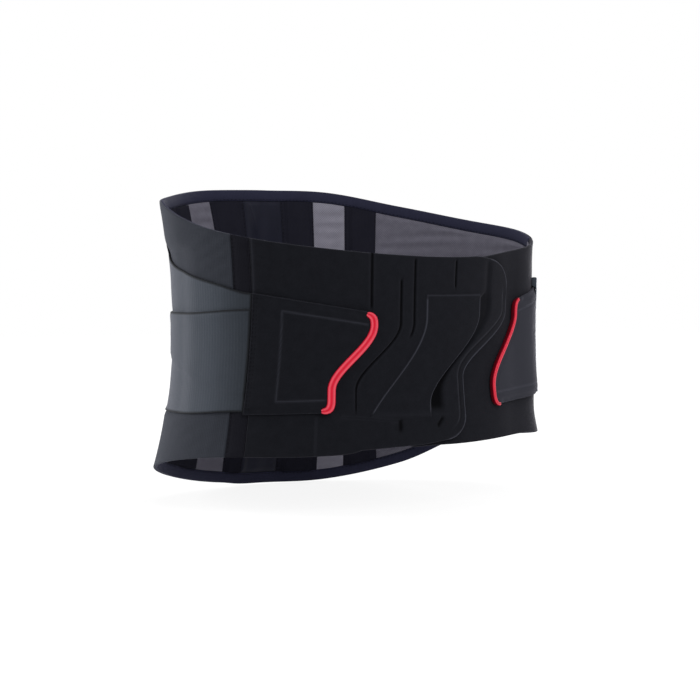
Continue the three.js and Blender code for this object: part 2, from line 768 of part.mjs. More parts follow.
// The tab's flat pattern: columns from the seam to the free end, row by row
function tabPattern(tab) {
  const end = tabEnd(tab);
  const first = end[0].y;
  const height = end.at(-1).y - first;
  const columns = [];
  const steps = Math.round(Math.abs(TAB_SEAM_PLACE - tab.side * tab.end.at) / TAB_COLUMN_STEP);
  for (let k = 0; k <= steps; k += 1) {
    columns.push(end.map((point) => {
      const z = lerp(tab.seamBottom, tab.seamTop, (point.y - first) / height);
      const seam = new THREE.Vector2(tab.side * (seamDistance(tab, z) - CLEARANCE), z);
      return seam.lerp(point, k / steps);
    }));
  }
  return columns;
}

const everyOther = (column) => column.filter((point, i) => i % 2 === 0 || i === column.length - 1);

function tabLayer(pattern, face, base, thickness) {
  return fabric(pattern.map((column) =>
    column.map((point) => {
      const inner = face(point.x) + base;
      return { u: point.x, z: point.y, outer: inner + thickness, inner };
    }),
  ), true);
}

const gripFloor = CLEARANCE + HOOK_THICKNESS;
const gripRoof = gripFloor + TAB_THICKNESS + 2 * CLEARANCE;
const gripTop = gripRoof + GRIP_CROWN;

// Cross section of the grip, a C round the tab's edge: x out from the edge, y out from the belt
const GRIP_SECTION = [
  [-GRIP_LIP, gripFloor - GRIP_WALL],
  [GRIP_NOSE - GRIP_BEVEL, gripFloor - GRIP_WALL],
  [GRIP_NOSE, gripFloor - GRIP_WALL + GRIP_BEVEL],
  [GRIP_NOSE, gripTop - GRIP_BEVEL],
  [GRIP_NOSE - GRIP_BEVEL, gripTop],
  [GRIP_NOSE / 2, gripTop],
  [(GRIP_NOSE - GRIP_LIP) / 2, gripTop - GRIP_GROOVE],
  [-GRIP_LIP / 2, gripTop],
  [-GRIP_LIP + GRIP_BEVEL / 2, gripTop],
  [-GRIP_LIP, gripTop - GRIP_BEVEL / 2],
  [-GRIP_LIP, gripRoof],
  [CLEARANCE, gripRoof],
  [CLEARANCE, gripFloor],
  [-GRIP_LIP, gripFloor],
].map(([x, y]) => new THREE.Vector2(x, y));

function grip(tab, face) {
  const edge = tabEnd(tab);
  const rings = edge.map((point, i) => {
    const before = edge[Math.max(i - 1, 0)];
    const after = edge[Math.min(i + 1, edge.length - 1)];
    const along = after.clone().sub(before).normalize();
    const out = new THREE.Vector2(-tab.side * along.y, tab.side * along.x);
    return GRIP_SECTION.map((p) => {
      const spot = point.clone().addScaledVector(out, p.x);
      return place(spot.x, spot.y, face(point.x) + p.y);
    });
  });
  return sweep(rings, GRIP_SECTION);
}

function addTab({ name }, group, face) {
  const tab = TABS[name];
  const pattern = tabPattern(tab);
  const height = tabMiddle(tab);
  const middle = new THREE.Vector2((waveAt(tab.end, height) + tab.side * TAB_SEAM_PLACE) / 2, height);
  const shrink = 1 - (2 * TAB_HOOK_INSET) / (tab.seamTop - tab.seamBottom);
  const inset = (p) => p.clone().sub(middle).multiplyScalar(shrink).add(middle);
  const hook = pattern.map((column) => everyOther(column).map(inset));
  const base = 2 * CLEARANCE + HOOK_THICKNESS;
  add(group, `${name}_tab`, tabLayer(pattern, face, base, TAB_THICKNESS), FINISHES.loop);
  add(group, `${name}_tab_hook`, tabLayer(hook, face, CLEARANCE, HOOK_THICKNESS), FINISHES.hook);
  add(group, `${name}_grip`, grip(tab, face), FINISHES.rubber);
}

const upperRise = curveThrough(UPPER_STRAP_PLACES, UPPER_STRAP_RISE);

// The two elastic straps of a side, the lower one over the upper, and the band that ties their ends to the
// back panel
function addStraps({ name, side }) {
  const tab = TABS[name];
  const distance = (u) => (side > 0 ? u : GIRTH - u);
  const upperTop = (u) => tab.seamTop + upperRise(distance(u));
  const lowerTop = (u) =>
    tab.seamTop - lerp(...LOWER_STRAP_DROP, smooth(distance(u), TAB_SEAM_PLACE, UPPER_STRAP_PLACES[2]));
  const shift = (u, z) => {
    const nearTab = 1 - smooth(distance(u), TAB_SEAM_PLACE, UPPER_STRAP_PLACES[2]);
    return side * nearTab * (seamDistance(tab, z) - TAB_SEAM_PLACE);
  };
  const strapEnd = fromBackMiddle(side, BACK_PANEL_HALF_WIDTH - STRAP_END_ON_BACK);
  const [from, to] = rising(fromFrontCentre(side, TAB_SEAM_PLACE), strapEnd);
  const run = { from, to, shift, thickness: STRAP_THICKNESS };
  const secondFace = 2 * (STRAP_THICKNESS + CLEARANCE);
  add(belt, `upper_strap_${name}`, panel({
    ...run,
    bottom: (u) => upperTop(u) - STRAP_WIDTH,
    top: upperTop,
    outer: CLEARANCE + STRAP_THICKNESS,
  }), FINISHES.elastic);
  add(belt, `lower_strap_${name}`, panel({
    ...run,
    bottom: (u) => lowerTop(u) - STRAP_WIDTH,
    top: lowerTop,
    outer: secondFace,
  }), FINISHES.elastic);
  const [start, end] = rising(
    strapEnd + side * CLEARANCE,
    strapEnd + side * (CLEARANCE + ANCHOR_WIDTH),
  );
  add(belt, `strap_anchor_${name}`, panel({
    from: start,
    to: end,
    bottom: (u) => lowerTop(u) - STRAP_WIDTH,
    top: upperTop,
    outer: secondFace,
    thickness: secondFace - CLEARANCE,
  }), FINISHES.tape);
}

addBack();
for (const one of SIDES) {
  addBackStays(one);
  addSide(one);
  addStraps(one);
}
addRightFlap();
addLeftFlap();
addTab(SIDES[0], rightTabBody, () => 0);
addTab(SIDES[1], leftTabBody, leftFlapFace);

export default belt;
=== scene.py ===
import json
import math

import bmesh
import bpy
import numpy as np
from mathutils import Matrix, Vector
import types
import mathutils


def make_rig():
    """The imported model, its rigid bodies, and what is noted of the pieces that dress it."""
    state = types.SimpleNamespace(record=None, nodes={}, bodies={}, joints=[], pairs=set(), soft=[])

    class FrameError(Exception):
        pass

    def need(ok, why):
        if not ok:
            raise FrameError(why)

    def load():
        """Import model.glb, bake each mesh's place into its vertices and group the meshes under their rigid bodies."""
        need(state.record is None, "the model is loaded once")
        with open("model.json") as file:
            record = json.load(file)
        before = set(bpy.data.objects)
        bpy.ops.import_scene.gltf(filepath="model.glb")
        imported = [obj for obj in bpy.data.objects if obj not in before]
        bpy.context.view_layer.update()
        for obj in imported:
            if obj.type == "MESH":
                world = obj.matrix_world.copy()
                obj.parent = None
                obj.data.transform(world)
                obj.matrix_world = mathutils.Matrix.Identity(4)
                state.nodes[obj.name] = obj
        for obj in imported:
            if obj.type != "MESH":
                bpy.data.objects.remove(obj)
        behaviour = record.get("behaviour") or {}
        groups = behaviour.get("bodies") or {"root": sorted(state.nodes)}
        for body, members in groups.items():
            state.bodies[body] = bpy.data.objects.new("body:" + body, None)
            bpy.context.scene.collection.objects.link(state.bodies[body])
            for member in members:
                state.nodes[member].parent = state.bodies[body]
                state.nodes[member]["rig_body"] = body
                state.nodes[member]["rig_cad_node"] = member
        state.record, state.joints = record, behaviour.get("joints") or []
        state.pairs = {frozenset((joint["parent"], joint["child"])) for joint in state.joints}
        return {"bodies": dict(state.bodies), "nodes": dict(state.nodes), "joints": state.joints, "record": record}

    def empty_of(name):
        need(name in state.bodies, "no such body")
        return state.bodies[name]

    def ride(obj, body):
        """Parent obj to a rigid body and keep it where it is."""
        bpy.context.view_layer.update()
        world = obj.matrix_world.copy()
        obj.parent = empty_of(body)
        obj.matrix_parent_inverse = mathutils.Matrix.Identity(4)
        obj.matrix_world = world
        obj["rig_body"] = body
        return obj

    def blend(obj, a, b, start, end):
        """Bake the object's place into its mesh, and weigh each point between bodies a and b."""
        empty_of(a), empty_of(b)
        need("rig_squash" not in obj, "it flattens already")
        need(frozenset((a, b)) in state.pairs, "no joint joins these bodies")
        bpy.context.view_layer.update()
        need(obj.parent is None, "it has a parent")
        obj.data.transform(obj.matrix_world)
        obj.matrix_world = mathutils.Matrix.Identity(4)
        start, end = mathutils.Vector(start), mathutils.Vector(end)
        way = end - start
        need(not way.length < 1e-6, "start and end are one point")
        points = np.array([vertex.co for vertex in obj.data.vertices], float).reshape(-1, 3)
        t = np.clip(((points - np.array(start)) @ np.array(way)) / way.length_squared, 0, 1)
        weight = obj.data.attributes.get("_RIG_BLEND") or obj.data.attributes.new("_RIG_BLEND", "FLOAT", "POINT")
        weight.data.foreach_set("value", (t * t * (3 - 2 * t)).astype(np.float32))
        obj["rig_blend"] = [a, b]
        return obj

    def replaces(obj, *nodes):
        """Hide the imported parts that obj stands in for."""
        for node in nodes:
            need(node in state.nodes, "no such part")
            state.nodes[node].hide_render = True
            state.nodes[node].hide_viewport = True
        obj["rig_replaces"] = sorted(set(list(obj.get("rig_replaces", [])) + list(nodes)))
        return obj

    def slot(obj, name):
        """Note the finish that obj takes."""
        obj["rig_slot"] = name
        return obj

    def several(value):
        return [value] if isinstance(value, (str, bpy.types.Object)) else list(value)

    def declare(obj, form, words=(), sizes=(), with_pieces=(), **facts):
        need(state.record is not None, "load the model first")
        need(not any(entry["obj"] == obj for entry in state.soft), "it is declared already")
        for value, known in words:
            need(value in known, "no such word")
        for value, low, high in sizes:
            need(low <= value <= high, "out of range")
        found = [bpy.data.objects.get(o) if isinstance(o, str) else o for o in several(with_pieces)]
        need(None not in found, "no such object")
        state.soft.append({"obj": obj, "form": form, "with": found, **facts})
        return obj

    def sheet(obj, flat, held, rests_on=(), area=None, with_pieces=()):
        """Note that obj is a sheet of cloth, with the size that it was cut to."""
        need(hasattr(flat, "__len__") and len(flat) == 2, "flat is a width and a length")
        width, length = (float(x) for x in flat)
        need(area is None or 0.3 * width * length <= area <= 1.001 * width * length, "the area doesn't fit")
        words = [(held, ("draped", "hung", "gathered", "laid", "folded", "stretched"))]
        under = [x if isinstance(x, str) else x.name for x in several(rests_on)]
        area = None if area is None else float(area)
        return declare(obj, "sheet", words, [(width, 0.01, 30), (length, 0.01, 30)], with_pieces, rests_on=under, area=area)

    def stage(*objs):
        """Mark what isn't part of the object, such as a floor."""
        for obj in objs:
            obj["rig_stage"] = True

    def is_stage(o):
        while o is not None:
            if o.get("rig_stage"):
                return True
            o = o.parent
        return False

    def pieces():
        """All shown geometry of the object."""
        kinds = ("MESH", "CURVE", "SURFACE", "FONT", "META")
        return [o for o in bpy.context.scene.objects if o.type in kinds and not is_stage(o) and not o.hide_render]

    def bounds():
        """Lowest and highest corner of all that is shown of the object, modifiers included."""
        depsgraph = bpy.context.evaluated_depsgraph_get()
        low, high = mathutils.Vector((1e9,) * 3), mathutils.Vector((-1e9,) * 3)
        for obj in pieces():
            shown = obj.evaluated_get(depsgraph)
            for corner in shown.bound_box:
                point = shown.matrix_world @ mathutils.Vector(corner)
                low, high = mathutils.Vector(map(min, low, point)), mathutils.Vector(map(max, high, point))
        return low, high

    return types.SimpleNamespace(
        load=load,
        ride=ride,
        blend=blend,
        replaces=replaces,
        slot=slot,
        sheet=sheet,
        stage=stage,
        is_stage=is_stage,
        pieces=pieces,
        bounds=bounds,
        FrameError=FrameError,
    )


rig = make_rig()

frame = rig.load()
cad_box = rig.bounds()

# Camera
# It stands level with the belt, to the wearer's right of the front, with a long lens.
CAMERA_AZIMUTH = math.radians(-38.145)
CAMERA_ELEVATION = math.radians(2.065)
CAMERA_ROLL = math.radians(0.142)
CAMERA_DISTANCE = 1.77788
CAMERA_LENS = 109.06
AIM_TO_RIGHT = -0.002955
AIM_HEIGHT = -0.018916

back = Vector((
    math.sin(CAMERA_AZIMUTH) * math.cos(CAMERA_ELEVATION),
    -math.cos(CAMERA_AZIMUTH) * math.cos(CAMERA_ELEVATION),
    math.sin(CAMERA_ELEVATION),
))
right = Vector((math.cos(CAMERA_AZIMUTH), math.sin(CAMERA_AZIMUTH), 0))
up = back.cross(right)
rolled_right = right * math.cos(CAMERA_ROLL) + up * math.sin(CAMERA_ROLL)
rolled_up = up * math.cos(CAMERA_ROLL) - right * math.sin(CAMERA_ROLL)
stand = right * AIM_TO_RIGHT + Vector((0, 0, AIM_HEIGHT)) + back * CAMERA_DISTANCE

camera_data = bpy.data.cameras.new("camera")
camera_data.lens = CAMERA_LENS
camera = bpy.data.objects.new("camera", camera_data)
camera.matrix_world = Matrix((
    (rolled_right.x, rolled_up.x, back.x, stand.x),
    (rolled_right.y, rolled_up.y, back.y, stand.y),
    (rolled_right.z, rolled_up.z, back.z, stand.z),
    (0, 0, 0, 1),
))
bpy.context.scene.collection.objects.link(camera)
bpy.context.scene.camera = camera
bpy.context.scene.view_settings.view_transform = "Standard"


# Studio
# A white room: the camera and reflections see plain white. Two soft lamps stand beside the belt, and weak
# ones in front and above. The floor keeps the belt's soft shadow, which fades out into the white.
FLOOR_SIZE = 8
FLOOR_GAP = 0.0006
ROOM_LIGHT = 0.38
SHADOW_KEPT = 0.25
SHADOW_FADES = (0.2, 0.5)
BOARD_LEVEL = 0.6
LAMPS = [
    ("lamp_right_side", (-1.08, 1.13, 0.4), 0.9, 17),
    ("lamp_left_side", (1.35, 0.75, 0.2), 0.6, 19),
    ("lamp_front", (-0.3, -1.6, 0.95), 1.2, 13.5),
    ("lamp_top", (0, -0.2, 1.7), 1.2, 4.5),
]


def linear(code):
    """The linear colour of an sRGB hex value, with full alpha."""
    parts = [int(code[i:i + 2], 16) / 255 for i in (1, 3, 5)]
    return [part / 12.92 if part <= 0.04045 else ((part + 0.055) / 1.055) ** 2.4 for part in parts] + [1]


def add_node(tree, kind, inputs=None, **settings):
    """A new shader node with its settings. An input given a socket is linked, others get the value."""
    node = tree.nodes.new("ShaderNode" + kind)
    for name, value in settings.items():
        setattr(node, name, value)
    for name, value in (inputs or {}).items():
        if isinstance(value, bpy.types.NodeSocket):
            tree.links.new(value, node.inputs[name])
        else:
            node.inputs[name].default_value = value
    return node


def seen_ray(tree):
    """1 for what the camera sees, also by reflection or through glass, and 0 for the light on the belt."""
    path = add_node(tree, "LightPath")
    share = path.outputs["Is Camera Ray"]
    for ray in ("Is Glossy Ray", "Is Transmission Ray"):
        share = add_node(tree, "Math", {0: share, 1: path.outputs[ray]}, operation="MAXIMUM").outputs[0]
    return share


world = bpy.data.worlds.new("studio")
world.use_nodes = True
room_tree = world.node_tree
room_tree.nodes.clear()
room_light = add_node(room_tree, "Background", {"Color": (1, 1, 1, 1), "Strength": ROOM_LIGHT})
white_room = add_node(room_tree, "Background", {"Color": (1, 1, 1, 1), "Strength": 1})
room = add_node(room_tree, "MixShader", {
    0: seen_ray(room_tree),
    1: room_light.outputs[0],
    2: white_room.outputs[0],
})
add_node(room_tree, "OutputWorld", {"Surface": room.outputs[0]})
bpy.context.scene.world = world

for lamp_name, spot, size, power in LAMPS:
    lamp_data = bpy.data.lights.new(lamp_name, "AREA")
    lamp_data.shape = "DISK"
    lamp_data.size = size
    lamp_data.energy = power
    lamp = bpy.data.objects.new(lamp_name, lamp_data)
    lamp.location = spot
    lamp.rotation_euler = Vector(spot).to_track_quat("Z", "Y").to_euler()
    bpy.context.scene.collection.objects.link(lamp)

# Painted board: matt white. What the camera sees of it is white light apart from a share of the board's own
# shading, which falls off with the distance from the belt. Out of the shadow both together are plain white.
floor_paint = bpy.data.materials.new("matt white board")
floor_paint.use_nodes = True
board_tree = floor_paint.node_tree
board_tree.nodes.clear()
floor_place = add_node(board_tree, "TexCoord").outputs["Object"]
from_belt = add_node(board_tree, "VectorMath", {0: floor_place}, operation="LENGTH").outputs["Value"]
whitened = add_node(board_tree, "MapRange", {
    "Value": from_belt,
    "From Min": SHADOW_FADES[0],
    "From Max": SHADOW_FADES[1],
    "To Min": 1 - SHADOW_KEPT,
    "To Max": 1,
}, interpolation_type="SMOOTHSTEP").outputs[0]
share = add_node(board_tree, "Math", {0: seen_ray(board_tree), 1: whitened}, operation="MULTIPLY")
paint = add_node(board_tree, "BsdfDiffuse", {"Color": linear("#f4f4f4")})
white = (1 - SHADOW_KEPT * BOARD_LEVEL) / (1 - SHADOW_KEPT)
glow = add_node(board_tree, "Emission", {"Color": (1, 1, 1, 1), "Strength": white})
lit = add_node(board_tree, "MixShader", {0: share.outputs[0], 1: paint.outputs[0], 2: glow.outputs[0]})
add_node(board_tree, "OutputMaterial", {"Surface": lit.outputs[0]})

board = bmesh.new()
bmesh.ops.create_grid(board, x_segments=1, y_segments=1, size=FLOOR_SIZE / 2)
bmesh.ops.translate(board, verts=board.verts, vec=(0, 0, cad_box[0].z - FLOOR_GAP))
floor_mesh = bpy.data.meshes.new("floor")
board.to_mesh(floor_mesh)
board.free()
floor_mesh.materials.append(floor_paint)
floor = bpy.data.objects.new("floor", floor_mesh)
bpy.context.scene.collection.objects.link(floor)
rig.stage(floor)


# Back panel
# The outer shell of the back: dark grey warp knit laminated to thin foam. It is cut flat, sewn to the side
# panels, and takes the round shape of the waist when worn. Every later piece is drawn flat in the same way,
# in millimetres: along the belt from the front centre to the wearer's left, up from the waistline, and out.
WAIST_HALF_WIDTH = 163.5
WAIST_HALF_DEPTH = 121.5
FLARE_REACH = 100
FLARE_ABOVE = 0.055
FLARE_BELOW = 0.078
BACK_LEAN = 0.11
BACK_LEAN_STARTS = (10, 55)
BACK_LEAN_ENDS = (120, 200)
EDGE_ANGLES = [0, 40, 80, 110, 135, 160, 180]
TOP_EDGE_LEFT = [58.5, 67, 83.5, 94, 106, 118, 118.5]
TOP_EDGE_RIGHT = [58.5, 65, 81, 101, 108, 116, 118.5]
BOTTOM_EDGE_LEFT = [-90.5, -87, -95, -100, -127, -141.5, -141.5]
BOTTOM_EDGE_RIGHT = [-90.5, -96, -99.5, -110, -126, -138, -141.5]
SHELL = 2.2
CLEARANCE = 0.35
BACK_SHIFT = 3.5
BACK_PANEL_HALF_WIDTH = 112
SHELL_RIM = 1.1
RIM_WELD = 0.0001
RELIEF_EASE = 4
CROWDING = 0.85

# Pulled tight, the straps press the wearer's right side in, deepest where both lie, and the panel stands out
# a little over them. On the left the hip fills the belt out. Each span is where it rises and where it falls.
PRESS_SPAN = ((215, 240), (318, 337))
BOTH_STRAPS = ((-71, -61), (12, 20))
ONE_STRAP = ((12, 20), (60, 70))
OVER_STRAPS = ((64, 76), (98, 112))
PRESS_BOTH = 2.8
PRESS_ONE = 2.4
PRESS_OVER = 1.2
HIP_SPAN = ((85, 125), (185, 225))
HIP_HEIGHTS = ((-75, -45), (25, 75))
HIP_FILL = 2.6

turns = np.linspace(0, 2 * np.pi, 1441)
steps = np.hypot(
    np.diff(WAIST_HALF_WIDTH * np.sin(turns)),
    np.diff(WAIST_HALF_DEPTH * np.cos(turns)),
)
lengths = np.concatenate([[0], np.cumsum(steps)])
GIRTH = lengths[-1]
BACK_CENTRE = GIRTH / 2
BACK_MIDDLE = BACK_CENTRE + BACK_SHIFT
LEFT = 1
RIGHT = -1
SIDES = (("right", RIGHT), ("left", LEFT))


def smooth(value, start, end):
    """0 before start, 1 after end, and an even S between them."""
    share = np.clip((value - start) / (end - start), 0, 1)
    return share * share * (3 - 2 * share)


def within(value, rise, fall):
    """0, then 1 after the pair of places where it rises, and 0 again after the pair where it falls."""
    return smooth(value, *rise) * (1 - smooth(value, *fall))


def angle_at(along):
    return np.interp(along % GIRTH, lengths, turns)


def filled_out(along, height):
    """How far the body and the pulled straps move the worn belt out from its even oval."""
    turn = along % GIRTH
    both, one, over = (within(height, *span) for span in (BOTH_STRAPS, ONE_STRAP, OVER_STRAPS))
    press = (PRESS_BOTH * both + PRESS_ONE * one - PRESS_OVER * over) * within(GIRTH - turn, *PRESS_SPAN)
    hip = HIP_FILL * within(turn, *HIP_SPAN) * within(height, *HIP_HEIGHTS)
    return hip - press


def worn(cut):
    """The places in space, in metres, of rows of (along, height, out) in millimetres."""
    along, height, out = np.asarray(cut, float).T
    behind = along % GIRTH - BACK_CENTRE
    lean = BACK_LEAN * smooth(behind, *BACK_LEAN_STARTS) * (1 - smooth(behind, *BACK_LEAN_ENDS))
    angle = angle_at(along + lean * height)
    sine, cosine = np.sin(angle), np.cos(angle)
    across, ahead = sine / WAIST_HALF_WIDTH, -cosine / WAIST_HALF_DEPTH
    size = np.hypot(across, ahead)
    flare = 1 + np.where(height > 0, FLARE_ABOVE, FLARE_BELOW) * (height / FLARE_REACH) ** 2
    out = out + filled_out(along, height)
    x = WAIST_HALF_WIDTH * sine * flare + across / size * out
    y = -WAIST_HALF_DEPTH * cosine * flare + ahead / size * out
    return np.stack([x, y, height], axis=1) / 1000


def curve_through(places, values):
    """A smooth curve through values at rising places, level at both ends."""
    places, values = np.array(places, float), np.array(values, float)
    slope = np.diff(values) / np.diff(places)
    share = np.diff(places)[:-1] / (places[2:] - places[:-2])
    slopes = np.concatenate([[0], slope[:-1] + (slope[1:] - slope[:-1]) * share, [0]])

    def curve(at):
        place = np.clip(at, places[0], places[-1])
        i = np.clip(np.searchsorted(places, place) - 1, 0, len(places) - 2)
        width = places[i + 1] - places[i]
        rise = values[i + 1] - values[i]
        share = (place - places[i]) / width
        leaving = slopes[i] * width - rise
        arriving = rise - slopes[i + 1] * width
        bend = leaving * (1 - share) + arriving * share
        return values[i] + rise * share + share * (1 - share) * bend

    return curve


def edge_curve(left_heights, right_heights):
    left_edge = curve_through(EDGE_ANGLES, left_heights)
    right_edge = curve_through(EDGE_ANGLES, right_heights)

    def edge(along):
        degrees = np.degrees(angle_at(along))
        return np.where(degrees <= 180, left_edge(degrees), right_edge(360 - degrees))

    return edge


top_edge = edge_curve(TOP_EDGE_LEFT, TOP_EDGE_RIGHT)
bottom_edge = edge_curve(BOTTOM_EDGE_LEFT, BOTTOM_EDGE_RIGHT)


def crowded(share):
    """Even shares from 0 to 1, drawn closer together near both ends."""
    return share - CROWDING * np.sin(2 * np.pi * share) / (2 * np.pi)


def rounded(distance, radius):
    """The share of the full thickness at a distance in from a cut edge."""
    reach = 1 - np.clip(distance / radius, 0, 1)
    return np.sqrt(1 - reach * reach)


# What each point of a cut remembers for its material: how far it is from the cut edge, in millimetres, and
# from 0 to 1 how much painted highlight it takes, and how far it is darkened by pressing and painted shade
MARKS = ("from_edge", "rubbed", "pressed")


def cloth(columns, rows, shape):
    """A flat cut with two faces joined round the rim. shape turns shares across and up into the places
    along and up, how far out both faces lie, and the marks."""
    cut = bmesh.new()
    marks = [cut.verts.layers.float.new(name) for name in MARKS]
    for layer in (2, 3):
        grid = bmesh.ops.create_grid(cut, x_segments=columns, y_segments=rows, size=0.5)["verts"]
        shares = np.array([v.co.xy for v in grid]) + 0.5
        shares = np.round(shares * (columns, rows)) / (columns, rows)
        drawn = shape(shares[:, 0], shares[:, 1])
        for vertex, along, height, out, *values in zip(grid, drawn[0], drawn[1], drawn[layer], *drawn[4:]):
            vertex.co = (along, height, out)
            for mark, value in zip(marks, values):
                vertex[mark] = value
        if layer == 3:
            inner = set(grid)
            bmesh.ops.reverse_faces(cut, faces=[face for face in cut.faces if face.verts[0] in inner])
    bmesh.ops.remove_doubles(cut, verts=cut.verts, dist=RIM_WELD)
    return cut


def panel(start, end, bottom, top, face, thickness, spacing=2.5, rim=None, relief=None, shift=None):
    """A cut between two places along the belt, in either order, and two edges. face says how far out its
    outer face lies. Both face and thickness are numbers, or are worked out from the place."""
    start, end = sorted((start, end))
    samples = np.linspace(start, end, 5)
    tallest = float(np.max(top(samples) - bottom(samples)))
    radius = rim or thickness / 2

    def shape(across, upward):
        along = start + (end - start) * crowded(across)
        low, high = bottom(along), top(along)
        height = low + (high - low) * crowded(upward)
        edge = np.min([along - start, end - along, height - low, high - height], axis=0)
        depth = thickness(along, height) if callable(thickness) else thickness
        half = depth / 2 * rounded(edge, radius)
        out = face(along, height) if callable(face) else np.full_like(along, face)
        out = out - depth / 2
        if relief:
            out = out + relief(along, height) * smooth(edge, 0, RELIEF_EASE)
        if shift:
            along = along + shift(along, height)
        return along, height, out + half, out - half, edge

    return cloth(math.ceil((end - start) / spacing), math.ceil(tallest / spacing), shape)


def put_on(cut, name, material):
    """Bends a flat cut round the waist. Its flat drawing, in metres, stays as its UV map."""
    drawing = cut.loops.layers.uv.new("cut")
    for face in cut.faces:
        for loop in face.loops:
            loop[drawing].uv = (loop.vert.co.x / 1000, loop.vert.co.y / 1000)
        face.smooth = True
    for vertex, spot in zip(cut.verts, worn([v.co for v in cut.verts])):
        vertex.co = spot
    mesh = bpy.data.meshes.new(name)
    cut.to_mesh(mesh)
    cut.free()
    mesh.materials.append(material)
    piece = bpy.data.objects.new(name, mesh)
    bpy.context.scene.collection.objects.link(piece)
    return piece


def flat_cut(piece):
    """Both faces are in the drawing."""
    mesh = piece.data
    drawing = np.empty(len(mesh.loops) * 2)
    mesh.uv_layers["cut"].data.foreach_get("uv", drawing)
    drawing = drawing.reshape(-1, 2)
    mesh.calc_loop_triangles()
    corners = np.empty(len(mesh.loop_triangles) * 3, int)
    mesh.loop_triangles.foreach_get("loops", corners)
    first, second, third = drawing[corners.reshape(-1, 3)].transpose(1, 0, 2)
    across, upward = second - first, third - first
    doubled = np.abs(across[:, 0] * upward[:, 1] - across[:, 1] * upward[:, 0]).sum() / 2
    width, length = np.ptp(drawing, axis=0)
    return {"flat": (float(width), float(length)), "area": float(doubled / 2)}


def new_material(name):
    """A material with only its output, its flat drawing in metres, and its shader."""
    material = bpy.data.materials.new(name)
    material.use_nodes = True
    tree = material.node_tree
    tree.nodes.clear()
    drawing = add_node(tree, "TexCoord").outputs["UV"]
    shader = add_node(tree, "BsdfPrincipled")
    add_node(tree, "OutputMaterial", {"Surface": shader.outputs[0]})
    return material, tree, drawing, shader


def stripes(tree, drawing, axis, pitch):
    """Even ridges from 0 to 1 across one axis of the drawing, a pitch in millimetres apart."""
    parts = add_node(tree, "SeparateXYZ", {0: drawing})
    turn = 2000 * math.pi / pitch
    turned = add_node(tree, "Math", {0: parts.outputs[axis], 1: turn}, operation="MULTIPLY")
    wave = add_node(tree, "Math", {0: turned.outputs[0]}, operation="SINE")
    half = {0: wave.outputs[0], 1: 0.5, 2: 0.5}
    return add_node(tree, "Math", half, operation="MULTIPLY_ADD").outputs[0]


def yarn_streaks(tree, drawing, width):
    """Upright streaks from uneven yarn, from 0 to 1, with a width in millimetres."""
    drawn_out = add_node(tree, "Mapping", {"Vector": drawing, "Scale": (1, 0.06, 1)}).outputs[0]
    return add_node(tree, "TexNoise", {
        "Vector": drawn_out,
        "Scale": 1000 / width,
        "Detail": 3,
        "Roughness": 0.55,
    }).outputs["Fac"]


def weighed(tree, patterns):
    """The sum of patterns, each times its weight."""
    total = 0
    for pattern, weight in patterns:
        values = {0: pattern, 1: weight, 2: total}
        total = add_node(tree, "Math", values, operation="MULTIPLY_ADD").outputs[0]
    return total


def dyed_cloth(name, weave, tones, shade, shade_share, patch, depth, haze, marked=(), **finish):
    """A cloth of cloudy dye between two tones, in patches of a size in millimetres. Its weave shades it and
    is its relief, to a depth in metres. haze is the strength, spread and colour that loose fibre gives. Each
    mark (its name, where it is full, where it ends, its colour and its share) tints a place, and where the
    last one is, there is no haze."""
    material, tree, drawing, shader = new_material(name)
    pattern = weave(tree, drawing)
    clouds = add_node(tree, "TexNoise", {
        "Vector": drawing,
        "Scale": 1000 / patch,
        "Detail": 5,
        "Roughness": 0.6,
    }).outputs["Fac"]
    layers = [(weighed(tree, [(pattern, shade_share)]), shade)]
    for mark, full, end, tint, most in marked:
        found = add_node(tree, "Attribute", attribute_name=mark).outputs["Fac"]
        ranged = {"Value": found, "From Min": full, "From Max": end, "To Min": most, "To Max": 0}
        layers.append((add_node(tree, "MapRange", ranged).outputs[0], tint))
    mixed = {0: clouds, 6: linear(tones[0]), 7: linear(tones[1])}
    colour = add_node(tree, "Mix", mixed, data_type="RGBA").outputs[2]
    for share, tint in layers:
        mixed = {0: share, 6: colour, 7: linear(tint)}
        colour = add_node(tree, "Mix", mixed, data_type="RGBA").outputs[2]
    tree.links.new(colour, shader.inputs["Base Color"])
    bump = add_node(tree, "Bump", {"Height": pattern, "Strength": 0.6, "Distance": depth})
    tree.links.new(bump.outputs[0], shader.inputs["Normal"])
    weight, spread, tint = haze
    shader.inputs["Sheen Weight"].default_value = weight
    if marked:
        bare = {"Value": layers[-1][0], "To Min": weight, "To Max": 0}
        tree.links.new(add_node(tree, "MapRange", bare).outputs[0], shader.inputs["Sheen Weight"])
    shader.inputs["Sheen Roughness"].default_value = spread
    shader.inputs["Sheen Tint"].default_value = linear(tint)
    for socket, value in finish.items():
        shader.inputs[socket.replace("_", " ")].default_value = value
    return material


# Warp-knitted polyester: upright wales of loops over fine rows, dyed dark grey. Matt, with a haze of loose
# fibre that lightens it at a glancing angle. The wales are drawn twice their real width to show.
KNIT_WALE = 1.6
KNIT_COURSE = 1.1


def knit_loops(tree, drawing):
    wales = stripes(tree, drawing, 0, KNIT_WALE)
    courses = stripes(tree, drawing, 1, KNIT_COURSE)
    loops = add_node(tree, "Math", {0: wales, 1: courses}, operation="MULTIPLY").outputs[0]
    return weighed(tree, [(loops, 0.55), (yarn_streaks(tree, drawing, 3.5), 0.45)])


warp_knit = dyed_cloth(
    "warp-knitted polyester",
    knit_loops,
    tones=("#2a2d34", "#34373f"),
    shade="#1a1c22",
    shade_share=0.7,
    patch=12,
    depth=0.0003,
    haze=(0.22, 0.45, "#c3c6d4"),
    Roughness=0.9,
    Specular_IOR_Level=0.12,
)


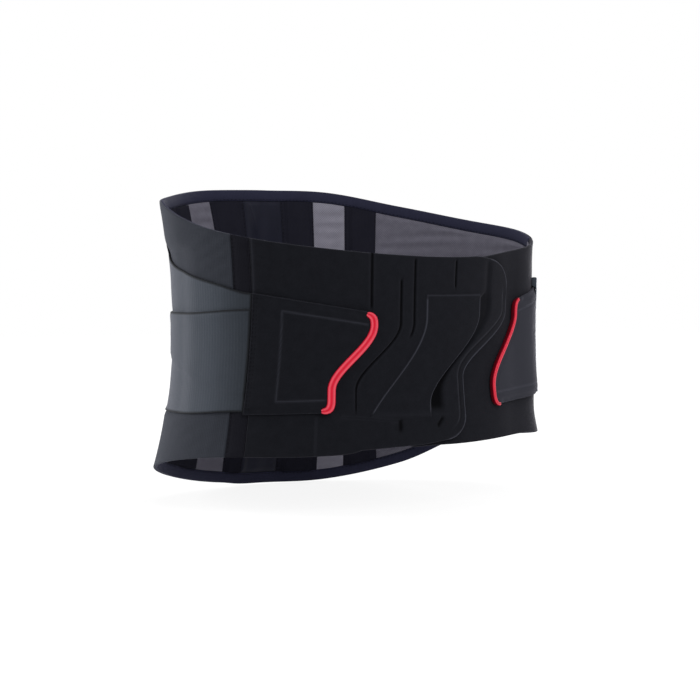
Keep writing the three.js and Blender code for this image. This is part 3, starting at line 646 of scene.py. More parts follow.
def soft_waves(along, height):
    """Shallow waves of worn cloth, a few tenths of a millimetre deep."""
    slow = np.sin(along / 23 + height / 41 + 1.3) * np.sin(height / 19 - along / 67)
    return 0.35 * slow + 0.15 * np.sin(along / 11 - height / 29)


back_shell = put_on(panel(
    BACK_MIDDLE - BACK_PANEL_HALF_WIDTH,
    BACK_MIDDLE + BACK_PANEL_HALF_WIDTH,
    bottom_edge,
    top_edge,
    0,
    SHELL,
    rim=SHELL_RIM,
    relief=soft_waves,
), "back_shell", warp_knit)
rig.ride(back_shell, "root")
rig.replaces(back_shell, "back_panel")
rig.slot(back_shell, "knit_shell")
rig.sheet(back_shell, **flat_cut(back_shell), held="stretched")


# Side panels
# The same knit, from the front seam to the back panel on each side. Short creases run down from the seam
# pocket where the straps pull. Their free top and bottom edges are bound.
SEAM = 165
SEAM_POCKET = 15
CREASE_DEPTH = 0.16


def from_front(side, distance):
    return distance if side == LEFT else GIRTH - distance


def from_back(side, distance):
    return BACK_MIDDLE - side * distance


def past_seam(along):
    """How far a place is behind the front seam of its side."""
    turn = along % GIRTH
    return np.minimum(turn, GIRTH - turn) - SEAM


def seam_creases(along, height):
    """The panel's waves, with slight creases near the seam pocket."""
    beyond = past_seam(along) - SEAM_POCKET
    creases = np.sin((height + 0.5 * beyond) / 1.9 + 0.7 * np.sin(height / 9))
    place = within(beyond, (1, 8), (20, 55)) * within(height, (20, 36), (70, 96))
    low = within(beyond, (1, 8), (30, 70)) * within(height, (-100, -88), (-78, -66))
    return 0.7 * soft_waves(along, height) + CREASE_DEPTH * creases * (place + 0.6 * low)


for side_name, side in SIDES:
    side_shell = put_on(panel(
        from_front(side, SEAM + SEAM_POCKET),
        from_back(side, BACK_PANEL_HALF_WIDTH),
        bottom_edge,
        top_edge,
        0,
        SHELL,
        spacing=1.9,
        rim=SHELL_RIM,
        relief=seam_creases,
    ), f"side_shell_{side_name}", warp_knit)
    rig.ride(side_shell, "root")
    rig.replaces(side_shell, f"side_panel_{side_name}")
    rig.slot(side_shell, "knit_shell")
    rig.sheet(side_shell, **flat_cut(side_shell), held="stretched")


# Bound edges
# Navy-black tricot tape along the top and the bottom edge from seam to seam. It lies inside, and is turned
# over and sewn down on top of the shell's edge.
TAPE_WIDTH = 9.6
TAPE = 1.0
TAPE_HEM = 0.4
TAPE_FOLD = 0.9
TAPE_EDGE = 0.4
TAPE_EASE = 0.05
TAPE_START = -1.0
INSIDE = -SHELL - CLEARANCE
BINDING_COLUMNS = 260

# Tricot: fine upright ribs of filament yarn, dense and a little shiny, dyed navy-black
RIB = 1.3


def fine_ribs(tree, drawing):
    return weighed(tree, [
        (stripes(tree, drawing, 0, RIB), 0.6),
        (yarn_streaks(tree, drawing, 4), 0.4),
    ])


tricot = dyed_cloth(
    "navy-black tricot tape",
    fine_ribs,
    tones=("#232435", "#2e2f42"),
    shade="#35364a",
    shade_share=0.35,
    patch=14,
    depth=0.0002,
    haze=(0.08, 0.4, "#a9a8c0"),
    Roughness=0.75,
    Specular_IOR_Level=0.08,
)


def swept(route, section):
    """A closed section of (in from the edge, out) swept along a route of edge heights, for a folded tape."""
    cut = bmesh.new()
    columns, rows = len(route) - 1, len(section)
    grid = bmesh.ops.create_grid(cut, x_segments=columns, y_segments=rows, size=0.5)["verts"]
    closed = section + section[:1]
    for vertex in grid:
        column = round((vertex.co.x + 0.5) * columns)
        row = round((vertex.co.y + 0.5) * rows)
        along, edge, turn = route[column]
        vertex.co = (along, edge + turn * closed[row][0], closed[row][1])
    bmesh.ops.remove_doubles(cut, verts=cut.verts, dist=RIM_WELD)
    bmesh.ops.holes_fill(cut, edges=[e for e in cut.edges if e.is_boundary], sides=0)
    bmesh.ops.recalc_face_normals(cut, faces=cut.faces)
    return cut


tape_face = INSIDE - TAPE
fold_radius = (TAPE_START - tape_face) / 2
fold_centre = (TAPE_START + tape_face) / 2
fold = [
    (-TAPE_FOLD + TAPE_FOLD * math.sin(turn), fold_centre + fold_radius * math.cos(turn))
    for turn in np.linspace(0, math.pi, 9)
]
tape_section = [
    (-TAPE_FOLD - TAPE_HEM, TAPE_START - TAPE_EDGE),
    (-TAPE_FOLD - TAPE_HEM, TAPE_START),
    *fold,
    (-TAPE_WIDTH / 2, tape_face + TAPE_EASE),
    (-TAPE_WIDTH + 1.5 * TAPE_EDGE, tape_face + TAPE_EASE),
    (-TAPE_WIDTH, tape_face + TAPE_EDGE),
    (-TAPE_WIDTH, INSIDE - TAPE_EASE),
]
for edge_name, edge, turn in (("top", top_edge, 1), ("bottom", bottom_edge, -1)):
    places = np.linspace(SEAM, GIRTH - SEAM, BINDING_COLUMNS)
    route = [(float(along), float(height), turn) for along, height in zip(places, edge(places))]
    binding = put_on(swept(route, tape_section), f"{edge_name}_binding", tricot)
    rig.ride(binding, "root")
    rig.replaces(binding, f"{edge_name}_facing")
    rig.slot(binding, "facing_tape")


# Inside of the back
# A smooth, slightly shiny centre lining, two stay pockets on each side of it, and strips of grey mesh
# between the pockets. The same mesh lines the sides. All of it lies between the two bound edges.
LINING = 0.8
CENTRE_HALF_WIDTH = 18.5
POCKET_CENTRES = {"inner": 34.25, "outer": 94.75}
OUTER_POCKET_PULL = {RIGHT: 6, LEFT: 0}
OUTER_POCKET_MORE = {RIGHT: 14, LEFT: -3.5}
INNER_SEAM_LEAN = {RIGHT: 0, LEFT: 6}
POCKET_WIDTH = 31.5
STAY_RISE = 1.85
STAY_HALF_WIDTH = 10.5
STAY_EASE = 1.2
LINING_SPACING = 1.3
POCKET_SPACING = 1.2

# The stay pockets and the seam pockets are cut from matt, denser tricots, darker than the tape
pocket_cloth, band_cloth = (
    dyed_cloth(
        name,
        fine_ribs,
        tones=tones,
        shade=shade,
        shade_share=0.35,
        patch=14,
        depth=0.0002,
        haze=(0, 0.4, "#a9a8c0"),
        Roughness=0.9,
        Specular_IOR_Level=0.03,
    )
    for name, tones, shade in (
        ("matt black tricot", ("#1a1a23", "#24242d"), "#2b2b35"),
        ("dense black tricot", ("#141419", "#1b1b21"), "#222228"),
    )
)

# Charmeuse: filament knit with a smooth face, so its creases catch soft highlights
CHARMEUSE_WALE = 0.9


def smooth_face(tree, drawing):
    return weighed(tree, [
        (stripes(tree, drawing, 0, CHARMEUSE_WALE), 0.2),
        (yarn_streaks(tree, drawing, 6), 0.8),
    ])


charmeuse = dyed_cloth(
    "dark charmeuse lining",
    smooth_face,
    tones=("#0f101b", "#171826"),
    shade="#1f2030",
    shade_share=0.4,
    patch=20,
    depth=0.0002,
    haze=(0.01, 0.35, "#b4b4c8"),
    Roughness=0.5,
    Specular_IOR_Level=0.1,
)

# Warp-knitted mesh: grey yarn in a fine diamond net over a dark layer, so the grey is uneven. The holes are
# drawn a little wider than real ones. The back's strip on the wearer's left takes a lighter copy of it, with
# painted light.
MESH_HOLE = 1.5


def net_holes(tree, drawing):
    turned = {"Vector": drawing, "Rotation": (0, 0, math.radians(45))}
    slanted = add_node(tree, "Mapping", turned).outputs[0]
    crossed = {0: stripes(tree, slanted, 0, MESH_HOLE), 1: stripes(tree, slanted, 1, MESH_HOLE)}
    holes = add_node(tree, "Math", crossed, operation="MULTIPLY").outputs[0]
    uneven = add_node(tree, "TexNoise", {
        "Vector": drawing,
        "Scale": 160,
        "Detail": 4,
        "Roughness": 0.65,
    }).outputs["Fac"]
    return weighed(tree, [(holes, 0.6), (uneven, 0.4)])


mesh_knit, painted_light_mesh = (
    dyed_cloth(
        name,
        net_holes,
        tones=tones,
        shade="#3a3943",
        shade_share=0.65,
        patch=9,
        depth=-0.0003,
        haze=(0.15, 0.5, "#c8c6d4"),
        Roughness=0.85,
        Specular_IOR_Level=0.1,
    )
    for name, tones in (
        ("grey knitted mesh", ("#605e69", "#807e8b")),
        ("pale grey knitted mesh", ("#868491", "#a2a0ad")),
    )
)


def lining_top(along):
    return top_edge(along) - TAPE_WIDTH - CLEARANCE


def lining_bottom(along):
    return bottom_edge(along) + TAPE_WIDTH + CLEARANCE


def slack_folds(along, height):
    """The lining is cut a little long, so it lies in low level folds, deepest away from its seams."""
    folds = np.sin(height / 1.6 + 0.9 * np.sin(along / 27)) * (0.6 + 0.4 * np.sin(along / 19 + height / 7))
    return -0.48 * (folds + 1)


def centre_creases(along, height):
    """Upright creases in the centre lining, and a higher slanted one near its top on the wearer's right."""
    across = along - BACK_MIDDLE
    upright = np.sin(across / 3.1 + height / 26 + 0.6 * np.sin(height / 13))
    slanted = np.exp(-(((across - 15.5 + 0.22 * (108 - height)) / 1.7) ** 2)) * smooth(height, 70, 90)
    return -0.6 - 0.6 * upright * (0.4 + 0.6 * smooth(across, -12, 14)) - 1.3 * slanted


centre_lining = put_on(panel(
    BACK_MIDDLE - CENTRE_HALF_WIDTH,
    BACK_MIDDLE + CENTRE_HALF_WIDTH,
    lining_bottom,
    lining_top,
    INSIDE,
    LINING,
    spacing=POCKET_SPACING,
    relief=centre_creases,
), "centre_lining", charmeuse)
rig.ride(centre_lining, "root")
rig.replaces(centre_lining, "back_centre_lining")
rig.slot(centre_lining, "facing_tape")
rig.sheet(centre_lining, **flat_cut(centre_lining), held="stretched", rests_on=[back_shell])

def pocket_edges(side):
    """How far from the middle of the back each stay pocket of a side starts and ends."""
    half = POCKET_WIDTH / 2
    inner = POCKET_CENTRES["inner"]
    outer = POCKET_CENTRES["outer"] + OUTER_POCKET_PULL[side]
    return {
        "inner": (inner - half, inner + half),
        "outer": (outer - half, outer + half + OUTER_POCKET_MORE[side]),
    }


for side_name, side in SIDES:
    pockets = pocket_edges(side)
    strip_near, strip_far = pockets["inner"][1], pockets["outer"][0]

    def low_lean(along, height):
        """The seam of the inner pocket with the mesh strip leans away from the middle below."""
        across = np.abs(along - BACK_MIDDLE)
        at_seam = np.interp(across, (*pockets["inner"], strip_far), (0, 1, 0))
        return -side * INNER_SEAM_LEAN[side] * smooth(-height, 10, 120) * at_seam

    for row_name, (near, far) in pockets.items():
        stay_place = from_back(side, POCKET_CENTRES[row_name])

        def over_stay(along, height):
            beside = smooth(abs(along - stay_place), STAY_HALF_WIDTH, STAY_HALF_WIDTH + STAY_EASE)
            return INSIDE - STAY_RISE * (1 - beside)

        stay_pocket = put_on(panel(
            from_back(side, near),
            from_back(side, far),
            lining_bottom,
            lining_top,
            over_stay,
            LINING,
            spacing=POCKET_SPACING,
            shift=low_lean if row_name == "inner" else None,
        ), f"{row_name}_pocket_tape_{side_name}", pocket_cloth)
        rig.ride(stay_pocket, "root")
        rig.replaces(stay_pocket, f"{row_name}_stay_pocket_{side_name}")
        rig.slot(stay_pocket, "facing_tape")
        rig.sheet(stay_pocket, **flat_cut(stay_pocket), held="stretched", rests_on=[back_shell])
    # The mesh strip on the wearer's left takes the copy with painted light
    mesh_strip = put_on(panel(
        from_back(side, strip_near),
        from_back(side, strip_far),
        lining_bottom,
        lining_top,
        INSIDE,
        LINING,
        spacing=LINING_SPACING,
        relief=slack_folds,
        shift=low_lean,
    ), f"mesh_strip_{side_name}", painted_light_mesh if side == LEFT else mesh_knit)
    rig.ride(mesh_strip, "root")
    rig.replaces(mesh_strip, f"back_mesh_strip_{side_name}")
    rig.slot(mesh_strip, "mesh_lining")
    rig.sheet(mesh_strip, **flat_cut(mesh_strip), held="stretched", rests_on=[back_shell])
    side_mesh = put_on(panel(
        from_front(side, SEAM),
        from_back(side, pockets["outer"][1]),
        lining_bottom,
        lining_top,
        INSIDE,
        LINING,
        spacing=LINING_SPACING,
        relief=slack_folds,
    ), f"side_mesh_{side_name}", mesh_knit)
    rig.ride(side_mesh, "root")
    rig.replaces(side_mesh, f"side_lining_{side_name}")
    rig.slot(side_mesh, "mesh_lining")
    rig.sheet(side_mesh, **flat_cut(side_mesh), held="stretched", rests_on=[f"side_shell_{side_name}"])


# Seam pockets
# A dark band at each front seam holds a slim stay. It is tricot over thin foam, a little proud of the knit,
# with a sewn line down each side.
BAND_CROWN = 0.6
BAND_SEWN_IN = 0.45


def band_crown(along, height):
    across = past_seam(along) / SEAM_POCKET
    sewn = np.exp(-((np.abs(across - 0.5) - 0.36) / 0.06) ** 2)
    return BAND_CROWN * np.sin(np.pi * np.clip(across, 0, 1)) - BAND_SEWN_IN * sewn


for side_name, side in SIDES:
    seam_band = put_on(panel(
        from_front(side, SEAM),
        from_front(side, SEAM + SEAM_POCKET),
        bottom_edge,
        top_edge,
        0,
        SHELL,
        spacing=0.9,
        rim=SHELL_RIM,
        relief=band_crown,
    ), f"seam_band_{side_name}", band_cloth)
    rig.ride(seam_band, "root")
    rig.replaces(seam_band, f"seam_pocket_{side_name}")
    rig.slot(seam_band, "facing_tape")


# Stays
# Spring steel strips in the back's pockets keep their CAD shape, hidden in their pockets. The slim plastic
# ones at the front seams are cut again here, because the belt fills out there.
STEEL_GRAIN = 0.6
SEAM_STAY_WIDTH = 9
SEAM_STAY = 1
SEAM_STAY_FACE = -1.15
STAY_CORNER = 4
STAY_END_ROOM = 8

spring_steel, tree, drawing, shader = new_material("brushed spring steel")
place = add_node(tree, "TexCoord").outputs["Object"]
grain = add_node(tree, "TexNoise", {
    "Vector": add_node(tree, "Mapping", {"Vector": place, "Scale": (1, 1, 0.05)}).outputs[0],
    "Scale": 1000 / STEEL_GRAIN,
    "Detail": 3,
    "Roughness": 0.6,
}).outputs["Fac"]
steel_tones = {0: grain, 6: linear("#7d8086"), 7: linear("#a9acb2")}
steel_colour = add_node(tree, "Mix", steel_tones, data_type="RGBA").outputs[2]
tree.links.new(steel_colour, shader.inputs["Base Color"])
shader.inputs["Metallic"].default_value = 1
brushed = add_node(tree, "MapRange", {0: grain, 3: 0.28, 4: 0.45}).outputs[0]
tree.links.new(brushed, shader.inputs["Roughness"])
bump = add_node(tree, "Bump", {"Height": grain, "Strength": 0.2, "Distance": 0.00005})
tree.links.new(bump.outputs[0], shader.inputs["Normal"])

for node_name, node in frame["nodes"].items():
    if node_name.startswith(("inner_stay_", "outer_stay_")) and "pocket" not in node_name:
        node.data.materials.clear()
        node.data.materials.append(spring_steel)

# Extruded polypropylene: pale and waxy, with faint flow lines along the strip
polypropylene = dyed_cloth(
    "extruded polypropylene",
    lambda tree, drawing: yarn_streaks(tree, drawing, 1.5),
    tones=("#cfcfc8", "#e2e2dc"),
    shade="#bdbdb6",
    shade_share=0.4,
    patch=12,
    depth=0.00005,
    haze=(0, 0.5, "#ffffff"),
    Roughness=0.5,
)


def corner_cut(distance, radius):
    """How far a round corner cuts into an edge, at a distance from the end."""
    reach = radius - np.clip(distance, 0, radius)
    return radius - np.sqrt(radius * radius - reach * reach)


for side_name, side in SIDES:
    centre = from_front(side, SEAM + SEAM_POCKET / 2)

    def stay_cut(along):
        return STAY_END_ROOM + corner_cut(SEAM_STAY_WIDTH / 2 - abs(along - centre), STAY_CORNER)

    seam_stay = put_on(panel(
        centre - SEAM_STAY_WIDTH / 2,
        centre + SEAM_STAY_WIDTH / 2,
        lambda along: bottom_edge(along) + stay_cut(along),
        lambda along: top_edge(along) - stay_cut(along),
        SEAM_STAY_FACE,
        SEAM_STAY,
        spacing=1.2,
        rim=0.4,
    ), f"seam_stay_strip_{side_name}", polypropylene)
    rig.ride(seam_stay, "root")
    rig.replaces(seam_stay, f"seam_stay_{side_name}")
    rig.slot(seam_stay, "stay_plastic")


# Elastic straps
# Two woven elastic bands on each side, slate grey, sewn to the pull tab in front and to the back behind.
# The lower one lies over the upper one, and sinks to the panel below it. Each bends with the flap's seam.
STRAP = 1.4
STRAP_WIDTH = 77
STRAP_END_ON_BACK = 12
STRAP_SINKS = 6
STRAP_FACE = CLEARANCE + STRAP
EDGE_LIFT = 0.6
ANCHOR = 14
ANCHOR_FACE = 2 * STRAP_FACE + 0.3
TAB_SEAM = 166
TAB_SEAM_LEAN = 5
STRAP_PLACES = [166, 195, 230, 257, 300, 350]
STRAP_RISE = [0, 7, 15.8, 22.2, 36, 53]
LOWER_STRAP_DROP = (12.5, 16)
LOWER_STRAP_WIDTH = 80
TAB_SEAM_HEIGHTS = {RIGHT: (-64.5, 30), LEFT: (-54, 40)}
BEND_ZONE = 9
TAB_SHADE_REACH = 38

# Woven elastic: rubber cores wrapped in slate-grey yarn, with low upright ribs where the weft turns. Each
# edge is darkened, for its dense selvedge and with painted shadow along it. The part beside the tab is
# darkened with painted shade. Stretched yarn gives a lavender haze at a glancing angle.
ELASTIC_RIB = 2.6
ELASTIC_PICK = 1.2


def ribbed_weave(tree, drawing):
    return weighed(tree, [
        (stripes(tree, drawing, 0, ELASTIC_RIB), 0.3),
        (stripes(tree, drawing, 1, ELASTIC_PICK), 0.2),
        (yarn_streaks(tree, drawing, 5), 0.5),
    ])


elastic = dyed_cloth(
    "slate-grey woven elastic",
    ribbed_weave,
    tones=("#383e47", "#434952"),
    shade="#2b3138",
    shade_share=0.5,
    patch=22,
    depth=0.0003,
    haze=(0.42, 0.4, "#d8d6e2"),
    # Painted shade beside the tab, then the dark edges of selvedge and painted shadow
    marked=[("pressed", 1, 0, "#1b1f25", 0.6), ("from_edge", 0.9, 2.4, "#0c0e12", 0.92)],
    Roughness=0.75,
    Specular_IOR_Level=0.15,
)

strap_rise = curve_through(STRAP_PLACES, STRAP_RISE)


def seam_distance(side, height):
    """How far from the front centre a tab's seam is at a height: it leans a little."""
    low, high = TAB_SEAM_HEIGHTS[side]
    return TAB_SEAM - TAB_SEAM_LEAN * (height - (low + high) / 2) / (high - low)


def strap_wave(along, height):
    """Stretched tight, the strap keeps only slight level waves."""
    return 0.12 * np.sin(height / 5 + along / 43) * np.sin(along / 31)


def lifted_edge(along, height):
    """The lower strap's top edge stands a little off the upper strap."""
    edge = lower_top(along)
    return strap_wave(along, height) + EDGE_LIFT * smooth(height, edge - 12, edge - 1)


for side_name, side in SIDES:
    def distance(along):
        return along if side == LEFT else GIRTH - along

    def upper_top(along):
        return TAB_SEAM_HEIGHTS[side][1] + strap_rise(distance(along))

    def lower_top(along):
        near, far = LOWER_STRAP_DROP
        drop = near + (far - near) * smooth(distance(along), TAB_SEAM, STRAP_PLACES[2])
        return TAB_SEAM_HEIGHTS[side][1] - drop

    def lower_face(along, height):
        upper_low = upper_top(along) - STRAP_WIDTH
        return STRAP_FACE * (1 + smooth(height, upper_low - STRAP_SINKS, upper_low))

    def lean(along, height):
        near_tab = 1 - smooth(distance(along), TAB_SEAM, STRAP_PLACES[2])
        return side * near_tab * (seam_distance(side, height) - TAB_SEAM)

    strap_end = from_back(side, BACK_PANEL_HALF_WIDTH - STRAP_END_ON_BACK)
    seam_low, seam_high = worn([(side * TAB_SEAM, 0, 2), (side * (TAB_SEAM + BEND_ZONE), 0, 2)])
    for strap_name, strap_top, strap_width, strap_face, wave in (
        ("upper", upper_top, STRAP_WIDTH, STRAP_FACE, strap_wave),
        ("lower", lower_top, LOWER_STRAP_WIDTH, lower_face, lifted_edge),
    ):
        strap_cut = panel(
            from_front(side, TAB_SEAM),
            strap_end,
            lambda along: strap_top(along) - strap_width,
            strap_top,
            strap_face,
            STRAP,
            spacing=1.7,
            relief=wave,
            shift=lean,
        )
        # Painted shade: each strap is darkened most at the tab's seam and fades out behind it
        tab_shade = strap_cut.verts.layers.float["pressed"]
        for vertex in strap_cut.verts:
            vertex[tab_shade] = 1 - smooth(distance(vertex.co.x), TAB_SEAM, TAB_SEAM + TAB_SHADE_REACH)
        strap = put_on(strap_cut, f"{strap_name}_elastic_{side_name}", elastic)
        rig.blend(strap, f"{side_name}_flap", "root", start=seam_low, end=seam_high)
        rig.replaces(strap, f"{strap_name}_strap_{side_name}")
        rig.slot(strap, "strap_elastic")
        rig.sheet(strap, **flat_cut(strap), held="stretched", rests_on=[f"side_shell_{side_name}"])

    anchor = put_on(panel(
        strap_end,
        strap_end + side * ANCHOR,
        lambda along: lower_top(along) - STRAP_WIDTH,
        upper_top,
        ANCHOR_FACE,
        2 * STRAP_FACE - CLEARANCE,
        spacing=1.4,
        rim=1.2,
    ), f"anchor_tape_{side_name}", tricot)
    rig.ride(anchor, "root")
    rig.replaces(anchor, f"strap_anchor_{side_name}")
    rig.slot(anchor, "facing_tape")


# Stitching of the back
# Black polyester thread in a lockstitch: along the bindings, down both sides of each stay pocket and seam
# pocket, and down both ends of each strap's anchor tape. Every stitch is a short bead lying on the cloth.
STITCH = 2.3
STITCH_PITCH = 3.3
STITCH_WIDTH = 0.5
STITCH_LIFT = 0.05
STITCH_IN = 1.2
STITCH_FROM_END = 3

thread = dyed_cloth(
    "black polyester thread",
    lambda tree, drawing: stripes(tree, drawing, 1, 0.5),
    tones=("#0a0a0e", "#101015"),
    shade="#15151b",
    shade_share=0.4,
    patch=3,
    depth=0.00005,
    haze=(0, 0.4, "#b4b4c8"),
    Roughness=0.8,
    Specular_IOR_Level=0.05,
)


def run_along(route):
    """The length of a route from its start to each of its points."""
    return np.concatenate([[0], np.cumsum(np.linalg.norm(np.diff(route, axis=0), axis=1))])


def sew(cut, route):
    """Adds a row of stitches along a route of flat places."""
    route = np.array(route, float)
    run = run_along(route)
    bead = Matrix.Diagonal((STITCH / 2, STITCH_WIDTH / 2, STITCH_WIDTH / 2, 1))
    for middle in np.arange(STITCH_PITCH / 2, run[-1], STITCH_PITCH):
        behind, ahead = (
            Vector([np.interp(middle + step, run, column) for column in route.T])
            for step in (-STITCH / 2, STITCH / 2)
        )
        turn = (ahead - behind).to_track_quat("X", "Z").to_matrix().to_4x4()
        spot = Matrix.Translation((behind + ahead) / 2)
        bmesh.ops.create_icosphere(cut, subdivisions=1, radius=1, matrix=spot @ turn @ bead)


def upright(along, low, high, out):
    return [(along, low, out), (along, high, out)]


rows = bmesh.new()
for edge, turn in ((top_edge, -1), (bottom_edge, 1)):
    places = np.linspace(SEAM + 2, GIRTH - SEAM - 2, BINDING_COLUMNS)
    sew(rows, [
        (along, float(edge(along)) + turn * (TAPE_WIDTH - STITCH_IN), tape_face)
        for along in places
    ])
for side_name, side in SIDES:
    for near, far in pocket_edges(side).values():
        for from_middle in (near + STITCH_IN, far - STITCH_IN):
            along = from_back(side, from_middle)
            low, high = float(lining_bottom(along)), float(lining_top(along))
            sew(rows, upright(along, low, high, INSIDE - LINING - STITCH_LIFT))
    for from_seam in (STITCH_IN, SEAM_POCKET - STITCH_IN):
        along = from_front(side, SEAM + from_seam)
        low = float(bottom_edge(along)) + STITCH_FROM_END
        high = float(top_edge(along)) - STITCH_FROM_END
        sew(rows, upright(along, low, high, STITCH_LIFT))
    for from_end in (2, ANCHOR - 2):
        along = from_back(side, BACK_PANEL_HALF_WIDTH - STRAP_END_ON_BACK - from_end)
        low = TAB_SEAM_HEIGHTS[side][1] - LOWER_STRAP_DROP[1] - STRAP_WIDTH + STITCH_FROM_END
        high = TAB_SEAM_HEIGHTS[side][1] + STRAP_RISE[-1] - STITCH_FROM_END
        sew(rows, upright(along, low, high, ANCHOR_FACE + STITCH_LIFT))
back_stitches = put_on(rows, "back_stitching", thread)
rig.ride(back_stitches, "root")
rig.slot(back_stitches, "facing_tape")


# Left front flap
# Brushed loop fabric on foam, near-black. It passes under the right flap and its hook tape, so it drops
# inwards there, and is lined with mesh. At the seam it bends with the seam pocket's edge.
FLAP = 3
LEFT_FLAP_END = -45
LEFT_FLAP_CORNER = 14
FLAP_RIM = 1.4
LAP = (80, 136)
LAP_ROOM = 1.5
LAP_DROP = FLAP + CLEARANCE + LAP_ROOM
LAP_TUCK = 2
LAP_TUCK_BELOW = 0.4
LINING_INSET = 3
FLAP_BEND = 7

# Brushed loop: a raised pile of fine nylon loops that hook tape grips. Matt and near-black, with soft
# cloudy patches where the pile lies another way, and a haze at a glancing angle. Cut edges and the mould's
# ridges and lines take painted highlights. Its grooves, notches and valley are darkened, partly for pile that
# the mould presses flat and partly with painted shade, and there they lose the haze.
PILE = 0.9


def loop_tufts(tree, drawing):
    tufts = add_node(tree, "TexNoise", {
        "Vector": drawing,
        "Scale": 1000 / PILE,
        "Detail": 2,
        "Roughness": 0.6,
    }).outputs["Fac"]
    return weighed(tree, [(tufts, 0.8), (yarn_streaks(tree, drawing, 9), 0.2)])


loop_pile = dyed_cloth(
    "black brushed loop",
    loop_tufts,
    tones=("#0b0c10", "#1a1b20"),
    shade="#1f2025",
    shade_share=0.5,
    patch=8,
    depth=0.0004,
    haze=(0.14, 0.45, "#d0ccdc"),
    # Marks: a painted highlight along cut edges, painted highlights on the mould's lines, and darkening for pressed
    # pile and painted shade
    marked=[
        ("from_edge", 0.3, 1.0, "#34353c", 0.2),
        ("rubbed", 1, 0, "#44454e", 0.9),
        ("pressed", 1, 0, "#030304", 0.95),
    ],
    Roughness=0.95,
    Specular_IOR_Level=0.05,
)


def signed_place(along):
    return np.where(along > BACK_CENTRE, along - GIRTH, along)


def left_face(along, height=0):
    return -LAP_DROP * (1 - smooth(signed_place(along), *LAP))


def left_cut(along, tuck=LAP_TUCK):
    tucked = tuck * (1 - smooth(along, LEFT_FLAP_CORNER, LAP[0]))
    return tucked + corner_cut(along - LEFT_FLAP_END, LEFT_FLAP_CORNER)


left_front = put_on(panel(
    LEFT_FLAP_END,
    SEAM,
    lambda along: bottom_edge(along) + left_cut(along, LAP_TUCK_BELOW),
    lambda along: top_edge(along) - left_cut(along),
    left_face,
    FLAP,
    spacing=1.9,
    rim=FLAP_RIM,
    relief=soft_waves,
), "left_front", loop_pile)
seam_at, flap_at = worn([(SEAM + 1, 0, -1), (SEAM - FLAP_BEND, 0, -1)])
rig.blend(left_front, "root", "left_flap", start=seam_at, end=flap_at)
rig.replaces(left_front, "left_flap")
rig.slot(left_front, "loop_fabric")
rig.sheet(left_front, **flat_cut(left_front), held="stretched")

left_front_mesh = put_on(panel(
    LEFT_FLAP_END + LINING_INSET,
    SEAM,
    lambda along: bottom_edge(along) + left_cut(along) + LINING_INSET,
    lambda along: top_edge(along) - left_cut(along) - LINING_INSET,
    lambda along, height: left_face(along) - FLAP - CLEARANCE,
    LINING,
), "left_front_mesh", mesh_knit)
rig.blend(left_front_mesh, "root", "left_flap", start=seam_at, end=flap_at)
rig.replaces(left_front_mesh, "left_flap_lining")
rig.slot(left_front_mesh, "mesh_lining")
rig.sheet(left_front_mesh, **flat_cut(left_front_mesh), held="stretched", rests_on=[left_front])


# Right front flap
# The same loop fabric over thicker foam, pressed in a heated mould: its free end is cut along a wave, and
# grooves, a raised land and a valley follow the same wave. Hook tape inside its end holds it closed.
# Each line is upright at "at" near the top and sweeps towards the wearer's right over a span about a centre.
MOULD_LINES = {
    "seam": (-165, 0, -20, 50),
    "tab groove": (-70, 33, -20, 50),
    "long groove": (-45, 37.5, -19, 52),
    "upper groove": (-33, 46, -28, 70),
    "land start": (-22.5, 54.5, -37, 96),
    "short groove": (7, 50, -26, 78),
    "land end": (35, 55, -22, 72),
    "valley": (44.5, 57, -15, 74),
    "border": (68, 60, -11, 54),
    "free end": (75, 59, -11, 52),
}
GROOVES = (
    ("tab groove", 1.0, 20, 60),
    ("long groove", 1.1, -60, 38),
    ("upper groove", 1.1, -2, 54),
    ("short groove", 1.0, 36, 54),
)
GROOVE_WIDTH = 1.1
RIDGE_WIDTH = 0.55
LAND_HEIGHT = 1.2
LAND_HEIGHTS = (-67, 28.5)
VALLEY_DEPTH = 1.4
BORDER_DEPTH = 0.6
BORDER_WIDTH = 6.5
NOTCHES = (((-46.6, -70), (-46.6, -76.5)), ((-9, -69), (-13, -74)))
LOW_LINE = ((-93, -66), (-72, -67.5), (-47, -70))
LOW_FOLD = ((-113, -66), (-113, -96))
SEAM_HIGHLIGHT = ((-162.6, 30), (-162.6, 80))
HIGH_ROW = 12
FLAP_TOP_CORNER = 26
FLAP_TOP_DIP = 5
FLAP_BOTTOM_CORNER = 20
FLAP_BOTTOM_RISE = ((-60, -25, 2.2), (20, 72, 3.2))
FLAP_SPACING = 1.8
FINE_ROWS = (*LAND_HEIGHTS, 36, 53)
HOOK_START = -35
HOOK_INSET = 6

line_places = [line[0] for line in MOULD_LINES.values()]
END_AT, END_SWEEP, END_CENTRE, END_SPAN = MOULD_LINES["free end"]
front_top = float(top_edge(0.0))
front_bottom = float(bottom_edge(0.0))


def wave_shift(at, height):
    """How far the mould line that starts at a place has swept at a height."""
    sweep, centre, span = (
        np.interp(at, line_places, [line[i] for line in MOULD_LINES.values()]) for i in (1, 2, 3)
    )
    return sweep * smooth(centre + span / 2 - height, 0, span)


def sweep_of(at):
    return np.interp(at, line_places, [line[1] for line in MOULD_LINES.values()])


def flap_top(at):
    return top_edge(at) - FLAP_TOP_DIP * smooth(at, 28, 64) - corner_cut(END_AT - at, FLAP_TOP_CORNER)


def flap_bottom(at):
    foot = at - sweep_of(at)
    rise = sum(most * smooth(at, start, end) for start, end, most in FLAP_BOTTOM_RISE)
    return bottom_edge(foot) + rise + corner_cut(END_AT - END_SWEEP - foot, FLAP_BOTTOM_CORNER)


